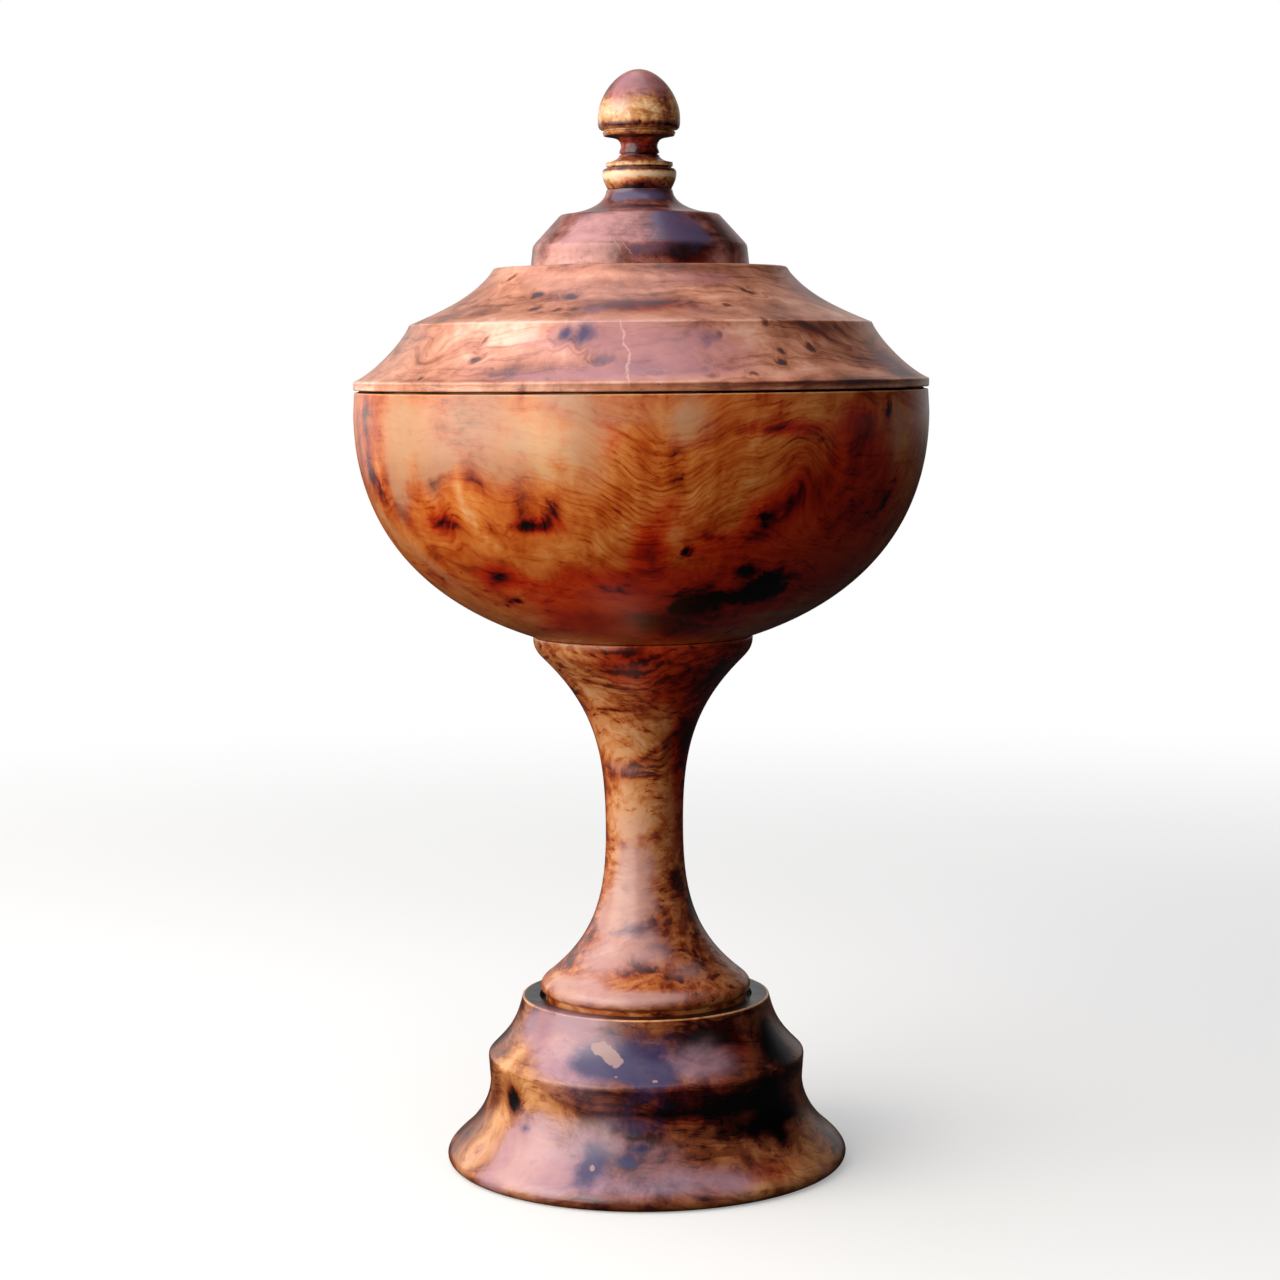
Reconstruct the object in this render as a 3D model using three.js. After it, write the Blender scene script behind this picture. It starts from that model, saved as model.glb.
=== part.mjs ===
// Lidded pedestal bowl, turned from burr wood in six pieces: plinth, stem, bowl, lid, lid cap and
// finial. Glued tenons hold the first three together, and the last three; the lid lifts off the bowl.
// Millimetres, +Z up, origin at the centre of the circle that the plinth stands on.
import * as THREE from "three";
import { mergeVertices } from "three/addons/utils/BufferGeometryUtils.js";

// Fits: shoulders and the lid's seat keep SEAT_GAP, and tenons keep TENON_SLACK all round.
const SEAT_GAP = 0.3;
const TENON_SLACK = 0.3;
const TENON_END_ROOM = 1;
const LID_SLACK = 0.5;

// Plinth: a flared skirt, a cove, a sharp bead and a rising sweep up to a flat land round a recess.
const PLINTH_HEIGHT = 62;
const FOOT_RADIUS = 70.4;
const SKIRT_RADIUS = 74.1;
const SKIRT_RISE = 3.2;
const SKIRT_FALL = 7.5;
const SKIRT_SHOULDER = 12;
const SKIRT_SLOPE = 134;
const COVE_DEPTH = 0.7;
const COVE_HEIGHT = 31;
const BEAD_RADIUS = 58.6;
const BEAD_HEIGHT = 40.6;
const SWEEP_SLOPE = 136;
const SWEEP_TOP_SLOPE = 103;
const LAND_RADIUS = 45.8;
const LAND_WIDTH = 6.5;
const RECESS_DEPTH = 2.5;
const REST_WIDTH = 13.4;
const DISH_DEPTH = 2.4;

// Stem: a fillet that drops into the plinth's recess, a domed foot, a slim waist and a rolled head.
const STEM_HEIGHT = 135.6;
const FILLET_SETBACK = 2.3;
const FILLET_HEIGHT = 3.4;
const NOSE_SETBACK = 0.5;
const NOSE_HEIGHT = 5.6;
const DOME_WIDTH = 3.1;
const DOME_RISE = 4.5;
const DOME_SLOPE = 141;
const WAIST_RADIUS = 14.3;
const WAIST_HEIGHT = 64.5;
const HEAD_RADIUS = 40.3;
const ROLL_WIDTH = 4.2;
const ROLL_DROP = 8.6;
const ROLL_SLOPE = 45;
const STEM_TENON_RADIUS = 11.7;
const LOWER_TENON_LENGTH = 25;
const UPPER_TENON_LENGTH = 10;

// Bowl: half a ball outside, drawn in a little at the rim, with a thick floor for the stem's tenon.
const BOWL_HEIGHT = 89.7;
const RIM_RADIUS = 104;
const BELLY_SWELL = 0.4;
const BELLY_DROP = 8.5;
const BELLY_SLOPE = 18;
const RIM_WALL = 8.2;
const MOUTH_DEPTH = 10;
const FLOOR_THICKNESS = 16;

// Lid: two hollow-curved tiers below a flat top, and a flange that drops inside the bowl's rim.
const LID_HEIGHT = 43.4;
const LID_OVERHANG = 0.3;
const LID_EDGE = 3;
const LOWER_TIER_WIDTH = 20.4;
const STEP_HEIGHT = 23.4;
const TIER_TOE_SLOPE = 157;
const LOWER_TIER_TOP_SLOPE = 114;
const UPPER_TIER_TOP_SLOPE = 130;
const CAP_LEDGE = 14.8;
const FLANGE_DEPTH = 5.5;
const FLANGE_WALL = 6.3;
const CROWN_THICKNESS = 12;
const CROWN_FLAT_RADIUS = 26;

// Lid cap: a short drum, a leaning shoulder and a hollow neck under the finial.
const CAP_HEIGHT = 27.6;
const CAP_RADIUS = 39.6;
const CAP_DRAFT = 0.8;
const CAP_SHOULDER_HEIGHT = 7.6;
const CAP_TOP_RADIUS = 28.6;
const CAP_TOP_HEIGHT = 18.8;
const CAP_TOP_SLOPE = 174;
const CAP_NECK_RADIUS = 11.9;
const CAP_NECK_SLOPE = 96;
const CAP_SPIGOT_RADIUS = 14.7;
const CAP_SPIGOT_LENGTH = 6;

// Finial: a rolled collar and a ledge, a slim ringed neck, and an acorn knob over a fillet.
const FINIAL_HEIGHT = 42.7;
const FINIAL_SETBACK = 0.3;
const COLLAR_RADIUS = 13.4;
const COLLAR_HEIGHT = 5.6;
const COLLAR_FLARE = 66;
const COLLAR_ROLL = 1.7;
const LEDGE_RADIUS = 12.1;
const LEDGE_HEIGHT = 1.3;
const RING_RADIUS = 7.2;
const RING_HEIGHT = 12;
const RING_WIDTH = 0.6;
const NECK_RADIUS = 6.6;
const NECK_HEIGHT = 14.8;
const LIP_RADIUS = 12.7;
const LIP_HEIGHT = 18.9;
const LIP_SLOPE = 12;
const KNOB_FILLET_RADIUS = 13.2;
const KNOB_FILLET_HEIGHT = 1.3;
const KNOB_RADIUS = 14.85;
const KNOB_HEIGHT = 25.4;
const GROOVE_WIDTH = 0.8;
const GROOVE_DEPTH = 0.5;
const FINIAL_TENON_RADIUS = 5;
const FINIAL_TENON_LENGTH = 18;

// Softened corners: the usual small one, the bead's and cap's, and the one of the lid's top edge.
const ARRIS = 0.6;
const BOLD_ROUND = 1.8;
const LID_ROUND = 2.2;

// Directions along an outline, in degrees: away from the axis, up, back towards the axis, and down.
const OUT = 0;
const UP = 90;
const IN = 180;
const DOWN = 270;

// How long a bend keeps to its end directions, as a share of the distance that it spans.
const BRIEFLY = 0.25;
const EVENLY = 0.34;
const FULLY = 0.4;
const SQUARELY = 0.5;

// Facets round the axis, and how far a chord may lie from the outline's curve.
const BROAD_FACETS = 48;
const SLENDER_FACETS = 32;
const OUTLINE_SAG = 0.12;
const OUTLINE_SAMPLES = 64;

// Height of each piece's own zero above the ground, stacked shoulder on shoulder.
const STEM_BASE = PLINTH_HEIGHT - RECESS_DEPTH + SEAT_GAP;
const BOWL_BASE = STEM_BASE + STEM_HEIGHT + SEAT_GAP;
const LID_BASE = BOWL_BASE + BOWL_HEIGHT + SEAT_GAP;
const CAP_BASE = LID_BASE + LID_HEIGHT + SEAT_GAP;
const FINIAL_BASE = CAP_BASE + CAP_HEIGHT + SEAT_GAP;

// Sizes that one piece takes from its neighbour.
const RECESS_RADIUS = LAND_RADIUS - LAND_WIDTH;
const STEM_SOCKET = STEM_TENON_RADIUS + TENON_SLACK;
const RIM_BORE = RIM_RADIUS - RIM_WALL;
const FLANGE_RADIUS = RIM_BORE - LID_SLACK;
const LID_RADIUS = RIM_RADIUS + LID_OVERHANG;
const LID_FLAT_RADIUS = CAP_RADIUS + CAP_LEDGE;
const CAP_SOCKET = CAP_SPIGOT_RADIUS + TENON_SLACK;
const FINIAL_SOCKET = FINIAL_TENON_RADIUS + TENON_SLACK;

const at = (radius, height) => new THREE.Vector2(radius, height);

/** The unit step in a direction given in degrees. */
function towards(degrees) {
  const angle = THREE.MathUtils.degToRad(degrees);
  return at(Math.cos(angle), Math.sin(angle));
}

/** Carries an outline on to a point in one smooth curve that leaves and arrives as directed. */
function bend(path, radius, height, leaving, arriving, hold = FULLY) {
  const start = path.currentPoint.clone();
  const end = at(radius, height);
  const reach = hold * start.distanceTo(end);
  const first = start.addScaledVector(towards(leaving), reach);
  const second = end.clone().addScaledVector(towards(arriving), -reach);
  path.bezierCurveTo(first.x, first.y, second.x, second.y, end.x, end.y);
}

/** Carries an outline straight to a corner and round it, to leave as directed. */
function corner(path, radius, height, leaving, round) {
  const tip = at(radius, height);
  const side = tip.clone().sub(path.currentPoint);
  const cut = Math.min(round, side.length() / 2);
  const before = tip.clone().addScaledVector(side.normalize(), -cut);
  const after = tip.clone().addScaledVector(towards(leaving), cut);
  path.lineTo(before.x, before.y);
  path.quadraticCurveTo(tip.x, tip.y, after.x, after.y);
}

/** Cuts a V groove into an outline that climbs at one radius. */
function groove(path) {
  const { x, y } = path.currentPoint;
  path.lineTo(x - GROOVE_DEPTH, y + GROOVE_WIDTH / 2);
  path.lineTo(x, y + GROOVE_WIDTH);
}

/** Points along a curve, its end included, placed so that every chord keeps within the sag. */
function pointsAlong(curve) {
  if (curve.isLineCurve) return [curve.getPoint(1)];
  const effort = [0];
  for (let i = 1; i <= OUTLINE_SAMPLES; i++) {
    const from = (i - 1) / OUTLINE_SAMPLES;
    const to = i / OUTLINE_SAMPLES;
    const length = curve.getPoint(from).distanceTo(curve.getPoint(to));
    const cosine = THREE.MathUtils.clamp(curve.getTangent(from).dot(curve.getTangent(to)), -1, 1);
    effort.push(effort[i - 1] + Math.sqrt(length * Math.acos(cosine)));
  }
  const whole = effort[OUTLINE_SAMPLES];
  const steps = Math.max(2, Math.ceil(whole / Math.sqrt(8 * OUTLINE_SAG)));
  const points = [];
  for (let step = 1; step < steps; step++) {
    const sample = effort.findIndex((amount) => amount >= (whole * step) / steps);
    points.push(curve.getPoint(sample / OUTLINE_SAMPLES));
  }
  points.push(curve.getPoint(1));
  return points;
}

/** One turned piece: its outline spun about the Z axis, standing at its own height. */
function turned(name, path, facets, base, finish) {
  const outline = [path.curves[0].getPoint(0), ...path.curves.flatMap(pointsAlong)];
  const lathe = new THREE.LatheGeometry(outline, facets);
  lathe.rotateX(Math.PI / 2);
  lathe.deleteAttribute("uv");
  lathe.deleteAttribute("normal");
  const geometry = mergeVertices(lathe, 1e-4);
  geometry.computeVertexNormals();
  const mesh = new THREE.Mesh(geometry, new THREE.MeshStandardMaterial(finish));
  mesh.name = name;
  mesh.position.z = base;
  return mesh;
}

/** Dished underside, skirt, cove, bead and sweep, then the land, the recess and the stem's socket. */
function plinthOutline() {
  const dishRadius = FOOT_RADIUS - REST_WIDTH;
  const coveRadius = BEAD_RADIUS - COVE_DEPTH;
  const recessFloor = PLINTH_HEIGHT - RECESS_DEPTH;
  const socketFloor = recessFloor - LOWER_TENON_LENGTH - TENON_END_ROOM;
  const path = new THREE.Path();
  path.moveTo(0, DISH_DEPTH);
  path.lineTo(dishRadius - DISH_DEPTH, DISH_DEPTH);
  path.lineTo(dishRadius, 0);
  path.lineTo(FOOT_RADIUS, 0);
  bend(path, SKIRT_RADIUS, SKIRT_RISE, OUT, UP);
  bend(path, SKIRT_RADIUS - SKIRT_FALL, SKIRT_SHOULDER, UP, SKIRT_SLOPE, BRIEFLY);
  bend(path, coveRadius, COVE_HEIGHT, SKIRT_SLOPE, UP, EVENLY);
  corner(path, BEAD_RADIUS, BEAD_HEIGHT, SWEEP_SLOPE, BOLD_ROUND);
  bend(path, LAND_RADIUS, PLINTH_HEIGHT - ARRIS, SWEEP_SLOPE, SWEEP_TOP_SLOPE);
  path.lineTo(LAND_RADIUS - ARRIS, PLINTH_HEIGHT);
  path.lineTo(RECESS_RADIUS, PLINTH_HEIGHT);
  path.lineTo(RECESS_RADIUS, recessFloor);
  path.lineTo(STEM_SOCKET, recessFloor);
  path.lineTo(STEM_SOCKET, socketFloor);
  path.lineTo(0, socketFloor);
  return path;
}

/** Lower tenon, fillet, domed foot, waist, rolled head and upper tenon. */
function stemOutline() {
  const filletRadius = RECESS_RADIUS - FILLET_SETBACK;
  const noseRadius = RECESS_RADIUS - NOSE_SETBACK;
  const tenonTop = STEM_HEIGHT + UPPER_TENON_LENGTH;
  const path = new THREE.Path();
  path.moveTo(0, -LOWER_TENON_LENGTH);
  path.lineTo(STEM_TENON_RADIUS, -LOWER_TENON_LENGTH);
  path.lineTo(STEM_TENON_RADIUS, 0);
  path.lineTo(filletRadius, 0);
  path.lineTo(filletRadius, FILLET_HEIGHT);
  bend(path, noseRadius, NOSE_HEIGHT, OUT, UP);
  bend(path, noseRadius - DOME_WIDTH, NOSE_HEIGHT + DOME_RISE, UP, DOME_SLOPE);
  bend(path, WAIST_RADIUS, WAIST_HEIGHT, DOME_SLOPE, UP);
  bend(path, HEAD_RADIUS - ROLL_WIDTH, STEM_HEIGHT - ROLL_DROP, UP, ROLL_SLOPE);
  bend(path, HEAD_RADIUS, STEM_HEIGHT - ARRIS, ROLL_SLOPE, UP);
  path.lineTo(HEAD_RADIUS - ARRIS, STEM_HEIGHT);
  path.lineTo(STEM_TENON_RADIUS, STEM_HEIGHT);
  path.lineTo(STEM_TENON_RADIUS, tenonTop);
  path.lineTo(0, tenonTop);
  return path;
}

/** The stem's socket, the seat on the stem's head, the belly, the rim and the hollow. */
function bowlOutline() {
  const socketRoof = UPPER_TENON_LENGTH + TENON_END_ROOM;
  const path = new THREE.Path();
  path.moveTo(0, socketRoof);
  path.lineTo(STEM_SOCKET, socketRoof);
  path.lineTo(STEM_SOCKET, 0);
  path.lineTo(HEAD_RADIUS, 0);
  bend(path, RIM_RADIUS + BELLY_SWELL, BOWL_HEIGHT - BELLY_DROP, BELLY_SLOPE, UP);
  path.lineTo(RIM_RADIUS, BOWL_HEIGHT - ARRIS);
  path.lineTo(RIM_RADIUS - ARRIS, BOWL_HEIGHT);
  path.lineTo(RIM_BORE + ARRIS, BOWL_HEIGHT);
  path.lineTo(RIM_BORE, BOWL_HEIGHT - ARRIS);
  path.lineTo(RIM_BORE, BOWL_HEIGHT - MOUTH_DEPTH);
  bend(path, 0, FLOOR_THICKNESS, DOWN, IN, SQUARELY);
  return path;
}

/** The hollow under the lid, the flange, the seat on the rim, two tiers and the cap's socket. */
function lidOutline() {
  const crown = LID_HEIGHT - CROWN_THICKNESS;
  const socketFloor = LID_HEIGHT - CAP_SPIGOT_LENGTH - TENON_END_ROOM;
  const flangeBore = FLANGE_RADIUS - FLANGE_WALL;
  const stepRadius = LID_RADIUS - LOWER_TIER_WIDTH;
  const path = new THREE.Path();
  path.moveTo(0, crown);
  path.lineTo(CROWN_FLAT_RADIUS, crown);
  bend(path, flangeBore, 0, OUT, DOWN);
  path.lineTo(flangeBore, -FLANGE_DEPTH);
  path.lineTo(FLANGE_RADIUS - ARRIS, -FLANGE_DEPTH);
  path.lineTo(FLANGE_RADIUS, -FLANGE_DEPTH + ARRIS);
  path.lineTo(FLANGE_RADIUS, 0);
  path.lineTo(LID_RADIUS - ARRIS, 0);
  path.lineTo(LID_RADIUS, ARRIS);
  corner(path, LID_RADIUS, LID_EDGE, TIER_TOE_SLOPE, ARRIS);
  bend(path, stepRadius, STEP_HEIGHT - ARRIS, TIER_TOE_SLOPE, LOWER_TIER_TOP_SLOPE, BRIEFLY);
  bend(path, stepRadius - ARRIS, STEP_HEIGHT, LOWER_TIER_TOP_SLOPE, TIER_TOE_SLOPE);
  bend(path, LID_FLAT_RADIUS, LID_HEIGHT - LID_ROUND, TIER_TOE_SLOPE, UPPER_TIER_TOP_SLOPE, EVENLY);
  bend(path, LID_FLAT_RADIUS - LID_ROUND, LID_HEIGHT, UPPER_TIER_TOP_SLOPE, IN);
  path.lineTo(CAP_SOCKET, LID_HEIGHT);
  path.lineTo(CAP_SOCKET, socketFloor);
  path.lineTo(0, socketFloor);
  return path;
}

/** Spigot, drum, leaning shoulder, hollow neck and the finial's socket. */
function capOutline() {
  const socketFloor = CAP_HEIGHT - FINIAL_TENON_LENGTH - TENON_END_ROOM;
  const shoulder = at(CAP_RADIUS - CAP_DRAFT, CAP_SHOULDER_HEIGHT);
  const lean = at(CAP_TOP_RADIUS, CAP_TOP_HEIGHT).sub(shoulder).angle();
  const path = new THREE.Path();
  path.moveTo(0, -CAP_SPIGOT_LENGTH);
  path.lineTo(CAP_SPIGOT_RADIUS, -CAP_SPIGOT_LENGTH);
  path.lineTo(CAP_SPIGOT_RADIUS, 0);
  path.lineTo(CAP_RADIUS, 0);
  corner(path, shoulder.x, shoulder.y, THREE.MathUtils.radToDeg(lean), BOLD_ROUND);
  corner(path, CAP_TOP_RADIUS, CAP_TOP_HEIGHT, CAP_TOP_SLOPE, BOLD_ROUND);
  bend(path, CAP_NECK_RADIUS, CAP_HEIGHT, CAP_TOP_SLOPE, CAP_NECK_SLOPE, EVENLY);
  path.lineTo(FINIAL_SOCKET, CAP_HEIGHT);
  path.lineTo(FINIAL_SOCKET, socketFloor);
  path.lineTo(0, socketFloor);
  return path;
}

/** Tenon, collar and ledge, ringed neck, lip and fillet, then the acorn. */
function finialOutline() {
  const path = new THREE.Path();
  path.moveTo(0, -FINIAL_TENON_LENGTH);
  path.lineTo(FINIAL_TENON_RADIUS, -FINIAL_TENON_LENGTH);
  path.lineTo(FINIAL_TENON_RADIUS, 0);
  path.lineTo(CAP_NECK_RADIUS - FINIAL_SETBACK, 0);
  bend(path, COLLAR_RADIUS, COLLAR_HEIGHT, COLLAR_FLARE, UP);
  bend(path, LEDGE_RADIUS, COLLAR_HEIGHT + COLLAR_ROLL, UP, IN);
  groove(path);
  path.lineTo(LEDGE_RADIUS, path.currentPoint.y + LEDGE_HEIGHT);
  bend(path, RING_RADIUS, RING_HEIGHT, IN, UP, BRIEFLY);
  groove(path);
  path.lineTo(RING_RADIUS, path.currentPoint.y + RING_WIDTH);
  path.lineTo(NECK_RADIUS, NECK_HEIGHT);
  bend(path, LIP_RADIUS, LIP_HEIGHT, UP, LIP_SLOPE, SQUARELY);
  path.lineTo(KNOB_FILLET_RADIUS, LIP_HEIGHT + KNOB_FILLET_HEIGHT);
  groove(path);
  bend(path, KNOB_RADIUS, KNOB_HEIGHT, OUT, UP);
  bend(path, 0, FINIAL_HEIGHT, UP, IN, EVENLY);
  return path;
}

const burr = { color: 0x9a5528, roughness: 0.32, metalness: 0 };
const darkBurr = { color: 0x7a4230, roughness: 0.3, metalness: 0 };
const goldenBurr = { color: 0xa8642c, roughness: 0.36, metalness: 0 };

const pedestalBowl = new THREE.Group();
pedestalBowl.add(
  turned("plinth", plinthOutline(), BROAD_FACETS, 0, darkBurr),
  turned("stem", stemOutline(), SLENDER_FACETS, STEM_BASE, burr),
  turned("bowl", bowlOutline(), BROAD_FACETS, BOWL_BASE, burr),
  turned("lid", lidOutline(), BROAD_FACETS, LID_BASE, burr),
  turned("lid_cap", capOutline(), SLENDER_FACETS, CAP_BASE, darkBurr),
  turned("finial", finialOutline(), SLENDER_FACETS, FINIAL_BASE, goldenBurr),
);

export default pedestalBowl;
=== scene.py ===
"""Dresses a lidded pedestal bowl, turned from burr wood, over its fixed frame.

Each piece is spun from an outline, gets its own polished burr, and rides on the body that
carries it. Lengths are in metres. The front of the bowl faces -Y.
"""
import math
from math import radians

import bmesh
import bpy
import numpy as np
from bpy.props import FloatProperty, FloatVectorProperty, PointerProperty
from bpy.types import Operator, Panel, PropertyGroup
from mathutils import Euler, Matrix, Vector
from mathutils.bvhtree import BVHTree
from mathutils.geometry import interpolate_bezier


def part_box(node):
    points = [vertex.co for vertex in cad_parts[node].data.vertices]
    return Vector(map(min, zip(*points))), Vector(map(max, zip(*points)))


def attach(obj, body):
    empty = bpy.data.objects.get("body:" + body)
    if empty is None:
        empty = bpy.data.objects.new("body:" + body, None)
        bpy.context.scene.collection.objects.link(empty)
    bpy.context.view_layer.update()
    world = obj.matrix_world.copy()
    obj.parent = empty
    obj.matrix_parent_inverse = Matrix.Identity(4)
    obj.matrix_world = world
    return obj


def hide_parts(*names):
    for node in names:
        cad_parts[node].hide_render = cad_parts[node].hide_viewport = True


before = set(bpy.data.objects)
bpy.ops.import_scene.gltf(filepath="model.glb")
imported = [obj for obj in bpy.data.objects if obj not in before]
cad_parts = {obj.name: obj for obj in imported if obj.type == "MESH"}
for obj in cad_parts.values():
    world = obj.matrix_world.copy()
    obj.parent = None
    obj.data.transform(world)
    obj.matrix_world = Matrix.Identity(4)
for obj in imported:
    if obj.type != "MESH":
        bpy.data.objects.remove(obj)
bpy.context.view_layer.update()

bl_info = {
    "name": "Burr pedestal bowl",
    "version": (1, 0, 0),
    "blender": (4, 5, 0),
    "location": "View3D > Sidebar > Pedestal bowl",
    "description": "Turns and polishes the pieces of a lidded pedestal bowl, and stages it",
    "category": "Object",
}

MM = 0.001

# The bodies that the pieces ride on.
STAND = "pedestal_bowl"
LID = "lid_with_finial"

# Directions along an outline: away from the axis, up, back towards the axis, and down.
OUT = radians(0)
UP = radians(90)
IN = radians(180)
DOWN = radians(270)

# How long a bend keeps to its end directions, as a share of the distance that it spans.
BRIEFLY = 0.25
EVENLY = 0.34
FULLY = 0.4
SQUARELY = 0.5

# The mesh: steps round the axis, and the spacing of points along a bend.
TURNING_STEPS = 192
POINT_SPACING = 1.8 * MM
LEAST_POINTS = 6
SHARP_ANGLE = radians(38)

# The photograph's camera, and its frame in pixels.
PHOTO_PIXELS = 1280
LENS_MM = 80
SENSOR_MM = 36
CAMERA_PLACE = Vector((-0.0011, -1.0389, 0.2971))
CAMERA_PITCH = radians(-5.692)
CAMERA_ROLL = radians(-0.45)


def length(label, millimetres, description):
    """A size that shows in the sidebar, given in millimetres."""
    return FloatProperty(
        name=label, description=description, default=millimetres * MM, unit="LENGTH", precision=5
    )


def slope(label, degrees, description):
    """A direction along an outline that shows in the sidebar, given in degrees."""
    return FloatProperty(
        name=label, description=description, default=radians(degrees), subtype="ANGLE"
    )


def colour(label, red, green, blue, description):
    """A colour that shows in the sidebar."""
    return FloatVectorProperty(
        name=label,
        description=description,
        default=(red, green, blue),
        subtype="COLOR",
        size=3,
        min=0,
        max=1,
    )


def share(label, value, description):
    """A factor that shows in the sidebar."""
    return FloatProperty(name=label, description=description, default=value, subtype="FACTOR")


def amount(label, value, description):
    """A plain number that shows in the sidebar."""
    return FloatProperty(name=label, description=description, default=value)


class BurrWood:
    """Colours and figure of the wood. A piece whose wood differs changes defaults by own_wood."""

    black: colour("Black", 0.003, 0.001, 0.001, "Colour of the burrs")
    dark: colour("Dark", 0.13, 0.006, 0.001, "Colour of the dark wood")
    brown: colour("Brown", 0.44, 0.062, 0.003, "Colour of the middle tone")
    bright: colour("Bright", 0.64, 0.185, 0.03, "Colour of the bright wood")
    pale: colour("Pale", 0.72, 0.36, 0.145, "Colour of the palest wood")
    # Red also tints patches of painted shade on the darker sides.
    red: colour("Red", 1.0, 0.26, 0.12, "Tint of the reddened wood")
    # Haze also paints sheen, highlights and reflections of the lamps into the wood's colour.
    haze: colour("Haze", 0.49, 0.27, 0.15, "Colour of the hazed polish")
    # Ink paints blue stains, and also painted blue reflections of the light overhead.
    ink: colour("Ink", 0.03, 0.025, 0.08, "Colour of the blue stains")
    scar: colour("Scar", 0.42, 0.27, 0.20, "Colour of the bare wood in chips and scratches")
    tone: share("Tone", 0.56, "How pale the wood is, from black to straw")
    drift: amount("Drift", 1.3, "How much the tone drifts")
    drift_scale: amount("Drift scale", 17, "Drifts in a metre")
    front_share: share("Front share", 0.45, "How much of the drift and the flames the front keeps")
    banding: amount("Banding", 0.5, "How much the layers differ")
    flecks: amount("Flecks", 0.2, "Depth of the short dark flecks")
    mottle: amount("Mottle", 0.75, "How mottled the wood is")
    mottle_scale: amount("Mottle scale", 95, "Mottles in a metre")
    flames: amount("Flames", 0.25, "Depth of the upright flames")
    lines: amount("Lines", 0.1, "Depth of the fine lines")
    ripples: amount("Ripples", 0.2, "Depth of the ripples")
    ripple_pitch: length("Ripple pitch", 2.3, "Distance from one ripple to the next")
    wander: length("Wander", 40, "How far the layers wander")
    wander_scale: amount("Wander scale", 13, "Turns in a metre")
    tilt_back: slope("Tilt back", 6, "How far the layers tilt to the back")
    tilt_side: slope("Tilt side", -6, "How far the layers tilt sideways")
    burr_scale: amount("Burr scale", 16, "Burrs in a metre")
    burr_start: share("Burr start", 0.64, "How rare the burrs are")
    figure: amount("Figure", 0.12, "Depth of the crisp-edged figure")
    figure_scale: amount("Figure scale", 120, "Patches in a metre")
    # How much of the wood the haze and the painted sheen can hide.
    haze_cover: share("Haze cover", 0.75, "How much of the wood the haze can hide")
    # Wear also paints pale glints of light along the rounded edges.
    wear: amount("Wear", 0.3, "How pale the edges are worn")
    gloss_blur: share("Gloss blur", 0.27, "How soft the reflections are")


def own_wood(**defaults):
    """Gives the settings of a piece the properties of its wood, with the piece's own defaults."""

    def dress(settings):
        for name, default in defaults.items():
            usual = BurrWood.__annotations__[name]
            changed = {**usual.keywords, "default": default}
            settings.__annotations__[name] = usual.function(**changed)
        return settings

    return dress


@own_wood(
    dark=(0.045, 0.005, 0.002), brown=(0.21, 0.048, 0.012), bright=(0.46, 0.175, 0.052),
    haze=(0.46, 0.265, 0.31), ink=(0.028, 0.026, 0.09), scar=(0.36, 0.215, 0.19),
    haze_cover=0.7, tone=0.47, banding=0.32, mottle=0.55, wear=0.5,
)
class PlinthSettings(BurrWood, PropertyGroup):
    """Sizes and wood of the foot."""

    foot_radius: length("Foot radius", 70.4, "Radius of the circle that the foot stands on")
    skirt_rise: length("Skirt rise", 3.2, "Height at which the skirt is widest")
    skirt_fall: length("Skirt fall", 7.5, "How far the skirt draws in up to its shoulder")
    skirt_shoulder: length("Skirt shoulder", 12, "Height of the skirt's shoulder")
    skirt_slope: slope("Skirt slope", 134, "Direction in which the skirt runs into the cove")
    cove_depth: length("Cove depth", 0.7, "How far the cove lies behind the bead")
    cove_height: length("Cove height", 31, "Height of the narrowest part of the cove")
    bead_radius: length("Bead radius", 58.6, "Radius of the sharp bead above the cove")
    bead_height: length("Bead height", 40.6, "Height of the bead's edge")
    bead_round: length("Bead round", 1.8, "Softening of the bead's edge")
    sweep_slope: slope("Sweep slope", 136, "Direction in which the sweep leaves the bead")
    sweep_top: slope("Sweep top", 103, "Direction in which the sweep reaches the land")
    land_radius: length("Land radius", 45.8, "Radius of the flat land at the top")
    land_width: length("Land width", 6.5, "Width of the land between its edge and the recess")
    recess_depth: length("Recess depth", 2.5, "Depth of the recess that the stem drops into")
    rest_width: length("Rest width", 13.4, "Width of the ring that the foot stands on")
    dish_depth: length("Dish depth", 2.4, "Depth of the hollow under the foot")


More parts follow.
